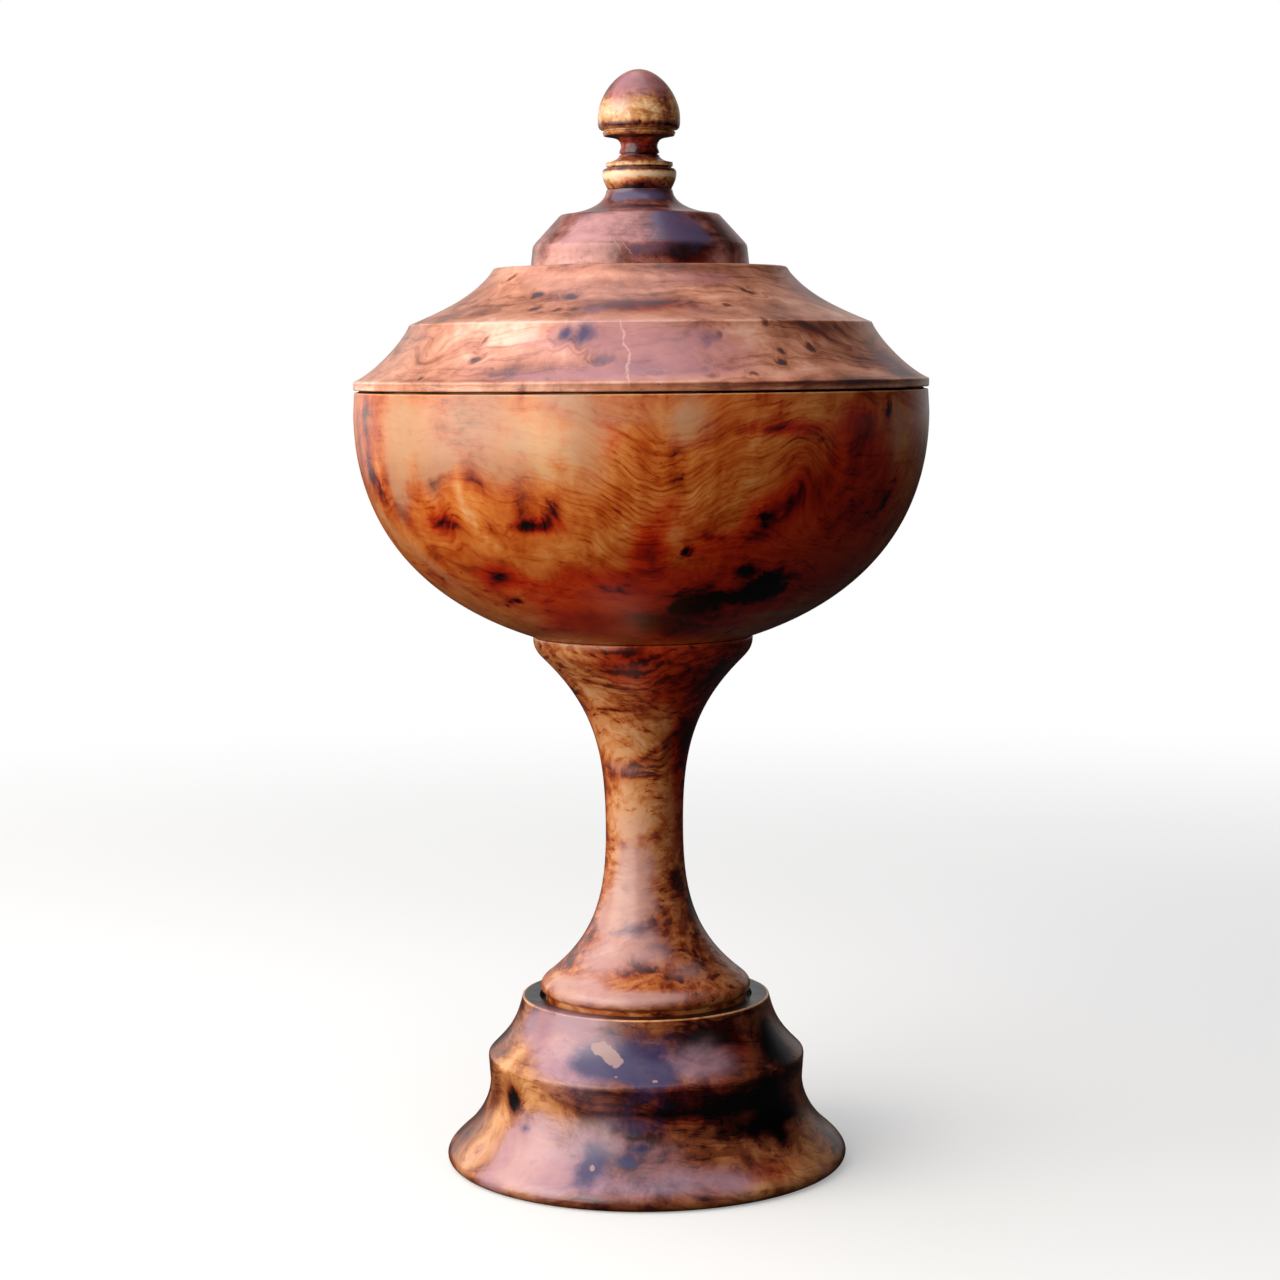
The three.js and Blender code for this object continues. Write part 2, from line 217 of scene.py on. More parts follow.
@own_wood(
    black=(0.05, 0.010, 0.005), dark=(0.17, 0.022, 0.006), brown=(0.40, 0.085, 0.015),
    bright=(0.56, 0.20, 0.058), pale=(0.66, 0.33, 0.15), haze=(0.56, 0.32, 0.28), flecks=0.45,
    mottle=1.0, tilt_back=radians(14), tilt_side=radians(12), ripples=0.42,
    ripple_pitch=3.4 * MM, wander=30 * MM, burr_scale=24, figure=0.24, figure_scale=170,
)
class StemSettings(BurrWood, PropertyGroup):
    """Sizes and wood of the stem."""

    fillet_setback: length("Fillet setback", 2.3, "Gap between the fillet and the recess round it")
    fillet_height: length("Fillet height", 3.4, "Height of the fillet under the domed foot")
    nose_setback: length("Nose setback", 0.5, "How far the foot's nose stays inside the recess")
    nose_height: length("Nose height", 5.6, "Height of the foot's widest point")
    dome_width: length("Dome width", 3.1, "Width of the rounded part of the foot")
    dome_rise: length("Dome rise", 4.5, "Height of the rounded part of the foot")
    dome_slope: slope("Dome slope", 141, "Direction in which the dome runs into the stem")
    waist_radius: length("Waist radius", 14.3, "Radius of the stem at its slimmest")
    waist_height: length("Waist height", 64.5, "Height of the slimmest point above the stem's seat")
    head_radius: length("Head radius", 40.3, "Radius of the head under the bowl")
    roll_width: length("Roll width", 4.2, "Width of the rounded edge of the head")
    roll_drop: length("Roll drop", 8.6, "Height of the rounded edge of the head")
    roll_slope: slope("Roll slope", 45, "Direction in which the stem runs into the head's edge")
    tenon_radius: length("Tenon radius", 11.7, "Radius of both tenons")
    lower_tenon: length("Lower tenon", 25, "Length of the tenon in the foot")
    upper_tenon: length("Upper tenon", 10, "Length of the tenon in the bowl")


@own_wood(
    banding=0.38, mottle=0.6, figure=0.07,
)
class BowlSettings(BurrWood, PropertyGroup):
    """Sizes and wood of the bowl."""

    belly_swell: length("Belly swell", 0.4, "How far the belly stands out past the rim")
    belly_drop: length("Belly drop", 8.5, "How far below the rim the bowl is widest")
    belly_slope: slope("Belly slope", 18, "Direction in which the bowl leaves its seat")
    rim_wall: length("Rim wall", 8.2, "Thickness of the rim")
    mouth_depth: length("Mouth depth", 10, "Depth of the straight part of the mouth")
    floor: length("Floor", 16, "Thickness of the bottom over the stem")


@own_wood(
    black=(0.07, 0.038, 0.035), dark=(0.16, 0.048, 0.025), brown=(0.38, 0.13, 0.06),
    bright=(0.62, 0.26, 0.145), pale=(0.84, 0.52, 0.36), haze=(0.46, 0.19, 0.19),
    scar=(0.70, 0.40, 0.30), tone=0.58, drift=1.2, banding=0.9, flecks=0.12, mottle=0.6,
    lines=0.16, wander=22 * MM, tilt_back=radians(3), tilt_side=radians(2), burr_start=0.72,
    figure=0.08, haze_cover=0.62, wear=0.2, gloss_blur=0.3,
)
class LidSettings(BurrWood, PropertyGroup):
    """Sizes and wood of the lid."""

    edge: length("Edge", 3, "Height of the lid's upright edge")
    lower_tier: length("Lower tier", 20.4, "Width of the lower tier")
    step_height: length("Step height", 23.4, "Height of the step between the tiers")
    toe_slope: slope("Toe slope", 157, "Direction in which each tier starts")
    lower_top: slope("Lower tier top", 114, "Direction in which the lower tier ends")
    upper_top: slope("Upper tier top", 130, "Direction in which the upper tier ends")
    flat_radius: length("Flat radius", 54.4, "Radius of the flat top")
    flat_round: length("Flat round", 2.2, "Softening of the flat top's edge")
    slack: length("Slack", 0.5, "Gap between the flange and the rim")
    flange_depth: length("Flange depth", 5.5, "How far the flange drops inside the rim")
    flange_wall: length("Flange wall", 6.3, "Thickness of the flange")
    crown: length("Crown", 12, "Thickness of the lid at its middle")
    crown_flat: length("Crown flat", 26, "Radius of the flat middle of the hollow")


@own_wood(
    black=(0.02, 0.01, 0.01), dark=(0.075, 0.016, 0.011), brown=(0.21, 0.062, 0.042),
    bright=(0.42, 0.17, 0.13), pale=(0.6, 0.36, 0.3), haze=(0.50, 0.23, 0.20),
    ink=(0.085, 0.06, 0.115), tone=0.45, drift=0.7, wander=16 * MM, gloss_blur=0.2,
)
class LidCapSettings(BurrWood, PropertyGroup):
    """Sizes and wood of the lid cap."""

    draft: length("Draft", 0.8, "How far the drum leans in")
    shoulder_height: length("Shoulder height", 7.6, "Height of the drum")
    top_radius: length("Top radius", 28.6, "Radius of the edge over the leaning shoulder")
    top_height: length("Top height", 18.8, "Height of that edge")
    top_slope: slope("Top slope", 174, "Direction of the top next to that edge")
    neck_radius: length("Neck radius", 11.9, "Radius of the neck under the finial")
    neck_slope: slope("Neck slope", 96, "Direction in which the neck ends")
    edge_round: length("Edge round", 1.8, "Softening of the two edges")
    spigot_radius: length("Spigot radius", 14.7, "Radius of the spigot in the lid")
    spigot: length("Spigot", 6, "Length of the spigot")


@own_wood(
    dark=(0.09, 0.014, 0.010), brown=(0.30, 0.08, 0.028), bright=(0.62, 0.29, 0.085),
    pale=(0.86, 0.62, 0.38), haze=(0.38, 0.15, 0.14), tone=0.5, drift_scale=60, mottle=0.9,
    mottle_scale=420, wander=8 * MM, burr_start=0.75, figure_scale=420, wear=0.4,
)
class FinialSettings(BurrWood, PropertyGroup):
    """Sizes and wood of the finial."""

    base_radius: length("Base radius", 11.6, "Radius of the finial where it meets the cap")
    collar_radius: length("Collar radius", 13.4, "Radius of the rolled collar")
    collar_height: length("Collar height", 5.6, "Height of the collar's widest point")
    collar_flare: slope("Collar flare", 66, "Direction in which the collar leaves the cap")
    collar_roll: length("Collar roll", 1.7, "Height of the collar's rounded top")
    ledge_radius: length("Ledge radius", 12.1, "Radius of the ledge over the collar")
    ledge_height: length("Ledge height", 1.3, "Height of the ledge")
    ring_radius: length("Ring radius", 7.2, "Radius of the rings on the neck")
    ring_height: length("Ring height", 12, "Height of the lower ring")
    ring_width: length("Ring width", 0.6, "Height of the upper ring")
    neck_radius: length("Neck radius", 6.6, "Radius of the neck at its slimmest")
    neck_height: length("Neck height", 14.8, "Height where the neck starts to flare")
    lip_radius: length("Lip radius", 12.7, "Radius of the lip under the knob")
    lip_height: length("Lip height", 18.9, "Height of the lip")
    lip_slope: slope("Lip slope", 12, "Direction in which the flare reaches the lip")
    fillet_radius: length("Fillet radius", 13.2, "Radius of the fillet under the knob")
    fillet_height: length("Fillet height", 1.3, "Height of that fillet")
    knob_height: length("Knob height", 25.4, "Height of the knob's widest point")
    groove_width: length("Groove width", 0.8, "Width of the cut grooves")
    groove_depth: length("Groove depth", 0.5, "Depth of the cut grooves")
    tenon_radius: length("Tenon radius", 5, "Radius of the tenon in the cap")
    tenon: length("Tenon", 18, "Length of the tenon")


class StageSettings(PropertyGroup):
    """Floor, lamps and surroundings."""

    floor_colour: colour("Floor", 0.93, 0.92, 0.84, "Colour of the floor")
    floor_glow: share("Floor glow", 0.3, "How much of the floor's white doesn't need the lamps")
    floor_bounce: share("Floor bounce", 0.02, "How much light the floor throws back")
    overhead_colour: colour("Overhead light", 0.78, 0.8, 1.0, "Colour of the overhead lamp")
    overhead_power: amount("Overhead power", 17, "Power of the overhead lamp")
    window_colour: colour("Window light", 1.0, 0.94, 0.86, "Colour of the lamp at the left")
    window_power: amount("Window power", 15, "Power of the lamp at the left")
    rim_power: amount("Rim power", 3.5, "Power of the lamp behind at the left")
    rim_colour: colour("Rim light", 1.0, 0.92, 0.86, "Colour of the lamp behind at the left")
    room_level: share("Room level", 0.25, "How brightly the room lights the bowl")
    polish_level: share("Polish level", 0.45, "How white the backdrop is in the polish")


class BurrBowlSettings(PropertyGroup):
    """All settings of the bowl, one group for each piece."""

    plinth: PointerProperty(type=PlinthSettings)
    stem: PointerProperty(type=StemSettings)
    bowl: PointerProperty(type=BowlSettings)
    lid: PointerProperty(type=LidSettings)
    lid_cap: PointerProperty(type=LidCapSettings)
    finial: PointerProperty(type=FinialSettings)
    stage: PointerProperty(type=StageSettings)


# Fits and edges: the softening of a small edge, the room round and behind a tenon, and the depth of
# the seam under the lid.
SMALL_ROUND = 0.6 * MM
TENON_SLACK = 0.3 * MM
TENON_END_ROOM = 1 * MM
SEAM = 0.5 * MM

# How deep a mark goes into the wood, how far the front reaches over the axis, where each colour
# stands on the scale of tones, and the scale at which Blender's bands are one metre apart.
MARK_DEPTH = 9 * MM
FRONT_DEPTH = 20 * MM
TONE_STEPS = (0.05, 0.24, 0.45, 0.68, 0.95)
RIPPLE_SCALE = math.tau / 20

# How often features come in a metre, along x, y and z where they are stretched.
BANDS = (9, 9, 80)
FIBRES = (22, 22, 620)
FIGURE = (1, 1, 1.5)
COLUMNS = (75, 75, 9)
CREASES = (24, 24, 400)
FLAMES = (46, 46, 15)
FLECKS = (150, 150, 520)
FLECK_CROWDS = 34
FEATHERS = 110
PINS = 120
PIN_CLUSTERS = 26
POLISH_WAVES = 38

# Fine wandering of the layers, and of the edges of knots: turns in a metre, detail and distance.
FINE_WANDER = (75, 3, 5 * MM)
RAGGED_WANDER = (240, 3, 3 * MM)

# Where a feature starts and where it is full, on its noise, or on the way from a mark's middle.
# Four numbers also give what it starts with and what it ends with.
FIGURE_RANGE = (0.43, 0.57)
LINE_RANGE = (0.5, 0.36)
WAVE_RANGE = (0.45, 0.0)
CREASE_RANGE = (0.5, 0.4)
COLUMN_RANGE = (0.3, 0.62, 0.3, 1.0)
FLAME_RANGE = (0.5, 0.7)
FLECK_RANGE = (0.46, 0.3)
CROWD_RANGE = (0.42, 0.62)
HALO_RANGE = (0.0, 0.8)
BURR_RANGE = (0.25, 1.25)
PIN_RANGE = (0.85, 0.4)
CLUSTER_RANGE = (0.52, 0.66, 0.03, 0.22)
KNOT_LIFT_RANGE = (0.5, 3.5, 3.5 * MM, 0.0)
KNOT_HALO_RANGE = (2.2, 0.9)
KNOT_HEART_RANGE = (1.25, 0.6)
WEAR_AND_GLINT_RANGE = (0.3, 0.55, 0.5, 1.0)
RED_RANGE = (0.1, 0.9)
STAIN_AND_REFLECTION_RANGE = (0.1, 1.0, 0.0, 0.9)
HAZE_AND_SHEEN_RANGE = (0.05, 1.0)
CHIP_RANGE = (1.1, 0.9)
SCRATCH_RANGE = (1.4, 0.6)
BURR_FADE = 0.14

# How far the feathery noise swings the edges of a burr, its halo, reddened wood, and a blue stain
# and painted reflection.
BURR_FEATHER = 2.6
HALO_FEATHER = 1.2
RED_FEATHER = 0.8
STAIN_AND_REFLECTION_FEATHER = 1.2

# How far the layers and the mottles streak the haze and the painted sheen.
HAZE_AND_SHEEN_BANDING = 1.6
HAZE_AND_SHEEN_MOTTLE = 2.0

# How far a column of ripples is out of step, and how its own tone swings.
COLUMN_SHIFT = 9 * MM
COLUMN_SWING = 0.9
COLUMN_PALE = 0.03

# How far each dark feature lowers the tone, and how far flames and halos redden it.
HALO_DEPTH = 0.22
BURR_DEPTH = 0.5
PIN_DEPTH = 0.4
KNOT_HALO_DEPTH = 0.14
KNOT_HEART_DEPTH = 0.3
# How far painted shade darkens grooves, seams and recesses.
HOLLOW_SHADE_DEPTH = 0.5
FLAME_RED = 0.4
HALO_RED = 0.5

# The finish: how proud the fibres stand, how pale a scratch is, and the shine of the wood.
FIBRE_RELIEF = 0.3
SCRATCH_PALE = 0.5
ROUGHNESS = 0.38
ROUGHNESS_SWING = 0.6

# Points closer than this are one point.
SAME_POINT = 0.001 * MM


def towards(angle):
    """The unit step along an outline in a direction given in radians."""
    return Vector((math.cos(angle), math.sin(angle)))


class Outline:
    """The outline of a turned piece, in radius and height, in the order that a tool would cut it.

    Each point also says how bare the wood is there, how worn and glinting, and how much painted
    shade darkens it in a groove, seam or recess.
    """

    def __init__(self, base, radius, height):
        self.base = base
        self.points = []
        self.bare, self.worn, self.grimy = 1.0, 0.0, 0.0
        self.states = []
        self.add(Vector((radius, height)))

    def add(self, point):
        """Adds one point, in the state of the stretch that is being cut."""
        if not self.points or (point - self.points[-1]).length > SAME_POINT:
            self.points.append(point)
            self.states.append((self.bare, self.worn, self.grimy))

    def line(self, *points):
        """Goes straight from point to point, each a radius and a height."""
        for point in points:
            self.add(Vector(point))

    def bend(self, radius, height, leaving, arriving, hold=FULLY):
        """Goes to a point in one smooth curve that leaves and arrives as directed, in radians."""
        start = self.points[-1]
        end = Vector((radius, height))
        reach = hold * (end - start).length
        count = LEAST_POINTS + int((end - start).length / POINT_SPACING)
        first = start + towards(leaving) * reach
        second = end - towards(arriving) * reach
        for point in interpolate_bezier(start, first, second, end, count)[1:]:
            self.add(point)

    def arris(self, radius, height, leaving, arriving, wear=1.0):
        """Rounds a small edge that hands and dusters have worn, and that catches a painted glint of
        light.
        """
        self.worn = wear
        self.bend(radius, height, leaving, arriving, SQUARELY)
        self.worn = 0.0

    def corner(self, radius, height, leaving, rounding=SMALL_ROUND, wear=1.0):
        """Goes straight to a corner and round it, to leave as directed, in radians."""
        tip = Vector((radius, height))
        side = tip - self.points[-1]
        cut = min(rounding, side.length / 2)
        self.add(tip - side.normalized() * cut)
        after = tip + towards(leaving) * cut
        self.arris(after.x, after.y, math.atan2(side.y, side.x), leaving, wear)

    def groove(self, width, depth):
        """Cuts a small groove into a stretch that climbs at one radius, with painted shade at its
        bottom.
        """
        radius, height = self.points[-1]
        self.grimy = 1.0
        self.bend(radius - depth, height + width / 2, IN, UP, SQUARELY)
        self.grimy = 0.0
        self.bend(radius, height + width, UP, OUT, SQUARELY)


class Turning:
    """A turned piece, with ways to find and paint places on it that the photograph shows."""

    def __init__(self, name, outline):
        """Spins an outline into a closed piece, in place, smooth between its sharp edges."""
        form = bmesh.new()
        layers = [form.verts.layers.float.new(layer) for layer in ("bare", "worn", "grimy")]
        verts = []
        for point, states in zip(outline.points, outline.states):
            vert = form.verts.new((point.x, 0, outline.base + point.y))
            for layer, state in zip(layers, states):
                vert[layer] = state
            verts.append(vert)
        edges = [form.edges.new(pair) for pair in zip(verts, verts[1:])]
        bmesh.ops.spin(
            form,
            geom=verts + edges,
            cent=(0, 0, 0),
            axis=(0, 0, 1),
            angle=math.tau,
            steps=TURNING_STEPS,
            use_merge=True,
        )
        bmesh.ops.remove_doubles(form, verts=form.verts, dist=SAME_POINT)
        bmesh.ops.recalc_face_normals(form, faces=form.faces)
        for face in form.faces:
            face.material_index = int(all(vert[layers[0]] for vert in face.verts))
        self.tree = BVHTree.FromBMesh(form)
        mesh = bpy.data.meshes.new(name)
        form.to_mesh(mesh)
        form.free()
        mesh.shade_smooth()
        mesh.set_sharp_from_angle(angle=SHARP_ANGLE)
        self.piece = bpy.data.objects.new(name, mesh)
        bpy.context.scene.collection.objects.link(self.piece)

    def spot(self, across, down):
        """The place on the piece that the photograph shows at a pixel."""
        view = camera_matrix()
        focal = LENS_MM / SENSOR_MM * PHOTO_PIXELS
        half = PHOTO_PIXELS / 2
        direction = view.to_3x3() @ Vector((across - half, half - down, -focal)).normalized()
        place = self.tree.ray_cast(view.translation, direction)[0]
        if place is None:
            raise ValueError(f"{self.piece.name} isn't seen at pixel {across}, {down}")
        return place

    def paint(self, layer, patches):
        """Writes soft patches to a layer of the mesh, one value for each vertex."""
        mesh = self.piece.data
        places = np.empty(len(mesh.vertices) * 3, np.float32)
        mesh.vertices.foreach_get("co", places)
        places = places.reshape(-1, 3)
        radius = np.hypot(places[:, 0], places[:, 1])
        angle = np.arctan2(places[:, 0], -places[:, 1])
        unit = MM if layer == "lift" else 1.0
        total = np.zeros(len(places), np.float32)
        for across, down, half_width, half_height, strength, *lean in patches:
            centre = self.spot(across, down)
            centre_radius = math.hypot(centre.x, centre.y)
            turn = angle - math.atan2(centre.x, -centre.y)
            turn = (turn + math.pi) % math.tau - math.pi
            right = turn * centre_radius
            up = np.hypot(radius - centre_radius, places[:, 2] - centre.z)
            up = np.copysign(up, places[:, 2] - centre.z)
            leaning = radians(sum(lean))
            sideways = right * math.cos(leaning) - up * math.sin(leaning)
            along = up * math.cos(leaning) + right * math.sin(leaning)
            distance = (sideways / (half_width * MM)) ** 2 + (along / (half_height * MM)) ** 2
            total += strength * unit * np.exp(-distance)
        mesh.attributes.new(layer, "FLOAT", "POINT").data.foreach_set("value", total)


def camera_matrix():
    """Place and direction of the photograph's camera."""
    tilt = Euler((math.pi / 2 + CAMERA_PITCH, 0, 0)).to_matrix().to_4x4()
    return Matrix.Translation(CAMERA_PLACE) @ tilt @ Matrix.Rotation(CAMERA_ROLL, 4, "Z")


class Recipe:
    """Lays out the nodes of a material from short calls, so that each finish reads as a recipe."""

    def __init__(self, name):
        self.material = bpy.data.materials.new(name)
        self.material.use_nodes = True
        self.tree = self.material.node_tree
        self.tree.nodes.clear()

    def node(self, kind, inputs, **settings):
        """Adds a node, and feeds its inputs with values or with other nodes' outputs."""
        made = self.tree.nodes.new("ShaderNode" + kind)
        for key, value in settings.items():
            setattr(made, key, value)
        for key, value in inputs.items():
            if isinstance(value, bpy.types.NodeSocket):
                self.tree.links.new(value, made.inputs[key])
            else:
                made.inputs[key].default_value = value
        return made

    def sum(self, operation, *values):
        """The result of a Math node."""
        return self.node("Math", dict(enumerate(values)), operation=operation).outputs[0]

    def vector(self, operation, *values):
        """The vector result of a Vector Math node."""
        made = self.node("VectorMath", dict(enumerate(values)), operation=operation)
        return made.outputs["Vector"]

    def reach(self, place):
        """How long a vector is."""
        return self.node("VectorMath", {0: place}, operation="LENGTH").outputs["Value"]

    def noise(self, place, scale, detail=2.0, roughness=0.5):
        """Noise that stays mostly between 0.3 and 0.7."""
        inputs = {"Vector": place, "Scale": scale, "Detail": detail, "Roughness": roughness}
        return self.node("TexNoise", inputs).outputs["Fac"]

    def wander(self, place, scale, detail, amount):
        """A place that noise has moved by up to half an amount in each direction."""
        inputs = {"Vector": place, "Scale": scale, "Detail": detail}
        moved = self.node("TexNoise", inputs).outputs["Color"]
        moved = self.vector("MULTIPLY_ADD", moved, (amount,) * 3, (-amount / 2,) * 3)
        return self.vector("ADD", place, moved)

    def grain(self, place, stretch, detail=2.0, roughness=0.5):
        """Noise that is stretched or squeezed along each axis."""
        return self.noise(self.vector("MULTIPLY", place, stretch), 1.0, detail, roughness)

    def between(self, value, low, high, start=0.0, end=1.0):
        """Eases a value from start to end while it climbs from low to high."""
        inputs = {"Value": value, "From Min": low, "From Max": high, "To Min": start, "To Max": end}
        return self.node("MapRange", inputs, interpolation_type="SMOOTHSTEP").outputs["Result"]

    def blend(self, factor, first, second, blend_type="MIX"):
        """Mixes two colours."""
        inputs = {0: factor, 6: first, 7: second}
        return self.node("Mix", inputs, data_type="RGBA", blend_type=blend_type).outputs[2]

    def layer(self, name):
        """A value that the mesh carries."""
        return self.node("Attribute", {}, attribute_name=name).outputs["Fac"]

    def swing(self, value, reach, start):
        """Adds noise to a start value, swung about its middle."""
        return self.sum("ADD", self.sum("MULTIPLY_ADD", value, reach, -reach / 2), start)

    def darken(self, tone, mask, depth):
        """Lowers a tone by a depth where a mask is 1."""
        return self.sum("MULTIPLY_ADD", mask, -depth, tone)


def nearest_mark(recipe, place, turning, marks):
    """How far a place is from the nearest mark, where 1 is the mark's edge."""
    nearest = None
    for across, down, half_width, half_height, lean in marks:
        centre = turning.spot(across, down)
        inputs = {
            "Vector": place,
            "Location": centre,
            "Rotation": (0, radians(lean), math.atan2(centre.x, -centre.y)),
            "Scale": (half_width * MM, MARK_DEPTH, half_height * MM),
        }
        mark = recipe.reach(recipe.node("Mapping", inputs, vector_type="TEXTURE").outputs[0])
        nearest = mark if nearest is None else recipe.sum("MINIMUM", nearest, mark)
    return nearest


def tones(recipe, tone, wood):
    """Turns a tone from 0 to 1 into the wood's colours, from its black burr to its palest straw."""
    node = recipe.node("ValToRGB", {"Fac": tone})
    ramp = node.color_ramp
    shades = (wood.black, wood.dark, wood.brown, wood.bright, wood.pale)
    while len(ramp.elements) < len(shades):
        ramp.elements.new(0.5)
    for element, shade, position in zip(ramp.elements, shades, TONE_STEPS):
        element.position = position
        element.color = (*shade, 1)
    return node.outputs["Color"]


def rippled(recipe, wood, warped, tilted, tone):
    """Crosses the wood with columns of ripples, a little out of step, where the mesh says so."""
    where = recipe.layer("ripple")
    columns = recipe.grain(warped, COLUMNS)
    shift = recipe.sum("MULTIPLY", columns, COLUMN_SHIFT)
    shifted = recipe.vector("ADD", tilted, recipe.node("CombineXYZ", {"Z": shift}).outputs[0])
    inputs = {
        "Vector": shifted,
        "Scale": RIPPLE_SCALE / wood.ripple_pitch,
        "Distortion": 5.0,
        "Detail": 5.0,
        "Detail Scale": 0.5,
        "Detail Roughness": 0.6,
    }
    wave = recipe.node("TexWave", inputs, bands_direction="Z").outputs["Fac"]
    creases = recipe.between(recipe.grain(shifted, CREASES), *CREASE_RANGE)
    ripple = recipe.sum("ADD", recipe.between(wave, *WAVE_RANGE), creases)
    strength = recipe.sum("MULTIPLY", where, recipe.between(columns, *COLUMN_RANGE))
    tone = recipe.darken(tone, recipe.sum("MULTIPLY", ripple, strength), wood.ripples / 2)
    stripe = recipe.sum("MULTIPLY", recipe.swing(columns, COLUMN_SWING, COLUMN_PALE), where)
    return recipe.sum("ADD", tone, stripe)


def polished(recipe, piece, wood, place, shade, relief, mottle):
    """Puts a coat of polish over the shade, a little uneven, as hand polishing leaves it."""
    bump = recipe.node("Bump", {"Height": relief, "Strength": 0.3, "Distance": 0.3 * MM})
    waves = recipe.noise(place, POLISH_WAVES)
    sway = recipe.node("Bump", {"Height": waves, "Strength": 1.0, "Distance": 0.25 * MM})
    inputs = {
        "Base Color": shade,
        "Roughness": recipe.swing(mottle, ROUGHNESS_SWING, ROUGHNESS),
        "Specular IOR Level": 0.12,
        "Coat Weight": 0.8,
        "Coat Roughness": wood.gloss_blur,
        "Normal": bump.outputs["Normal"],
        "Coat Normal": sway.outputs["Normal"],
    }
    finish = recipe.node("BsdfPrincipled", inputs)
    recipe.node("OutputMaterial", {"Surface": finish.outputs[0]})
    piece.data.materials.append(recipe.material)

    # Hidden and inner surfaces have the same wood without the polish.
    bare = recipe.material.copy()
    bare.name = piece.name.replace("turned", "bare")
    bare.node_tree.nodes[finish.name].inputs["Coat Weight"].default_value = 0.0
    piece.data.materials.append(bare)


def burr_wood(turning, wood, knots, chips=(), scratches=()):
    """Polished burr: wandering growth layers, dark burrs, pin knots, and the piece's own marks."""
    piece = turning.piece
    recipe = Recipe(piece.name.replace("turned", "burr"))
    place = recipe.node("TexCoord", {}).outputs["Object"]

    # The wood's layers wander, widely and finely, and bend round each knot.
    warped = recipe.wander(place, wood.wander_scale, 2.0, wood.wander)
    warped = recipe.wander(warped, *FINE_WANDER)
    ragged = recipe.wander(place, *RAGGED_WANDER)
    knot = nearest_mark(recipe, ragged, turning, knots)
    lift = recipe.sum("ADD", recipe.between(knot, *KNOT_LIFT_RANGE), recipe.layer("lift"))
    lifted = recipe.node("CombineXYZ", {"Z": lift}).outputs[0]
    warped = recipe.vector("ADD", warped, lifted)

    # Growth layers lie nearly level and tilt a little with the log.
    tilt = (wood.tilt_back, wood.tilt_side, 0)
    tilted = recipe.node("Mapping", {"Vector": warped, "Rotation": tilt}).outputs[0]
    bands = recipe.grain(tilted, BANDS, 3.0, 0.55)
    fibres = recipe.grain(tilted, FIBRES, 4.0, 0.65)

    # Tone drifts over the piece, less at the front, where patches are painted on it, painted
    # highlights and painted shade among them.
    depth = recipe.node("SeparateXYZ", {0: place}).outputs["Y"]
    wild = recipe.between(depth, -FRONT_DEPTH, FRONT_DEPTH, wood.front_share, 1.0)
    drift = recipe.noise(warped, wood.drift_scale, 4.0, 0.55)
    mottle = recipe.noise(warped, wood.mottle_scale, 6.0, 0.68)
    tone = recipe.sum("MULTIPLY", recipe.swing(drift, wood.drift, 0.0), wild)
    tone = recipe.sum("ADD", tone, recipe.sum("ADD", recipe.layer("tone"), wood.tone))
    tone = recipe.swing(bands, wood.banding, tone)
    tone = recipe.swing(mottle, wood.mottle, tone)
    figure = recipe.vector("MULTIPLY", warped, FIGURE)
    figure = recipe.noise(figure, wood.figure_scale, 5.0, 0.6)
    tone = recipe.swing(recipe.between(figure, *FIGURE_RANGE), wood.figure, tone)

    # Fine dark lines follow the layers, and ripples cross them.
    tone = recipe.darken(tone, recipe.between(fibres, *LINE_RANGE), wood.lines)
    tone = rippled(recipe, wood, warped, tilted, tone)

    # Dark flames run upright across the layers.
    flames = recipe.between(recipe.grain(warped, FLAMES, 4.0, 0.6), *FLAME_RANGE)
    flame = recipe.sum("MULTIPLY", flames, wild)
    tone = recipe.darken(tone, flame, wood.flames)

    # Short dark flecks lie along the layers, in clusters.
    flecks = recipe.between(recipe.grain(warped, FLECKS, 3.0, 0.6), *FLECK_RANGE)
    crowd = recipe.between(recipe.noise(place, FLECK_CROWDS, 3.0), *CROWD_RANGE)
    tone = recipe.darken(tone, recipe.sum("MULTIPLY", flecks, crowd), wood.flecks)

    # Burrs are dark, with feathered edges, and pin knots gather in clusters.
    feather = recipe.noise(warped, FEATHERS, 5.0, 0.7)
    chance = recipe.noise(place, wood.burr_scale, 1.0)
    burr = recipe.between(chance, wood.burr_start, wood.burr_start + BURR_FADE)
    burr = recipe.sum("ADD", recipe.sum("MULTIPLY", burr, wild), recipe.layer("burr"))
    halo = recipe.between(recipe.swing(feather, HALO_FEATHER, burr), *HALO_RANGE)
    tone = recipe.darken(tone, halo, HALO_DEPTH)
    burr = recipe.between(recipe.swing(feather, BURR_FEATHER, burr), *BURR_RANGE)
    tone = recipe.darken(tone, burr, BURR_DEPTH)
    pins = recipe.node("TexVoronoi", {"Vector": ragged, "Scale": PINS}).outputs["Distance"]
    cluster = recipe.between(recipe.noise(place, PIN_CLUSTERS), *CLUSTER_RANGE)
    pins = recipe.between(recipe.sum("DIVIDE", pins, cluster), *PIN_RANGE)
    tone = recipe.darken(tone, recipe.sum("MULTIPLY", pins, wild), PIN_DEPTH)

    # A knot has a black heart and a brown halo.
    tone = recipe.darken(tone, recipe.between(knot, *KNOT_HALO_RANGE), KNOT_HALO_DEPTH)
    tone = recipe.darken(tone, recipe.between(knot, *KNOT_HEART_RANGE), KNOT_HEART_DEPTH)

    # Edges are worn pale and catch painted glints, and painted shade darkens the grooves, seams and
    # recesses.
    worn = recipe.sum("MULTIPLY", recipe.layer("worn"), recipe.between(mottle, *WEAR_AND_GLINT_RANGE))
    tone = recipe.sum("MULTIPLY_ADD", worn, wood.wear, tone)
    tone = recipe.darken(tone, recipe.layer("grimy"), HOLLOW_SHADE_DEPTH)
    shade = tones(recipe, tone, wood)
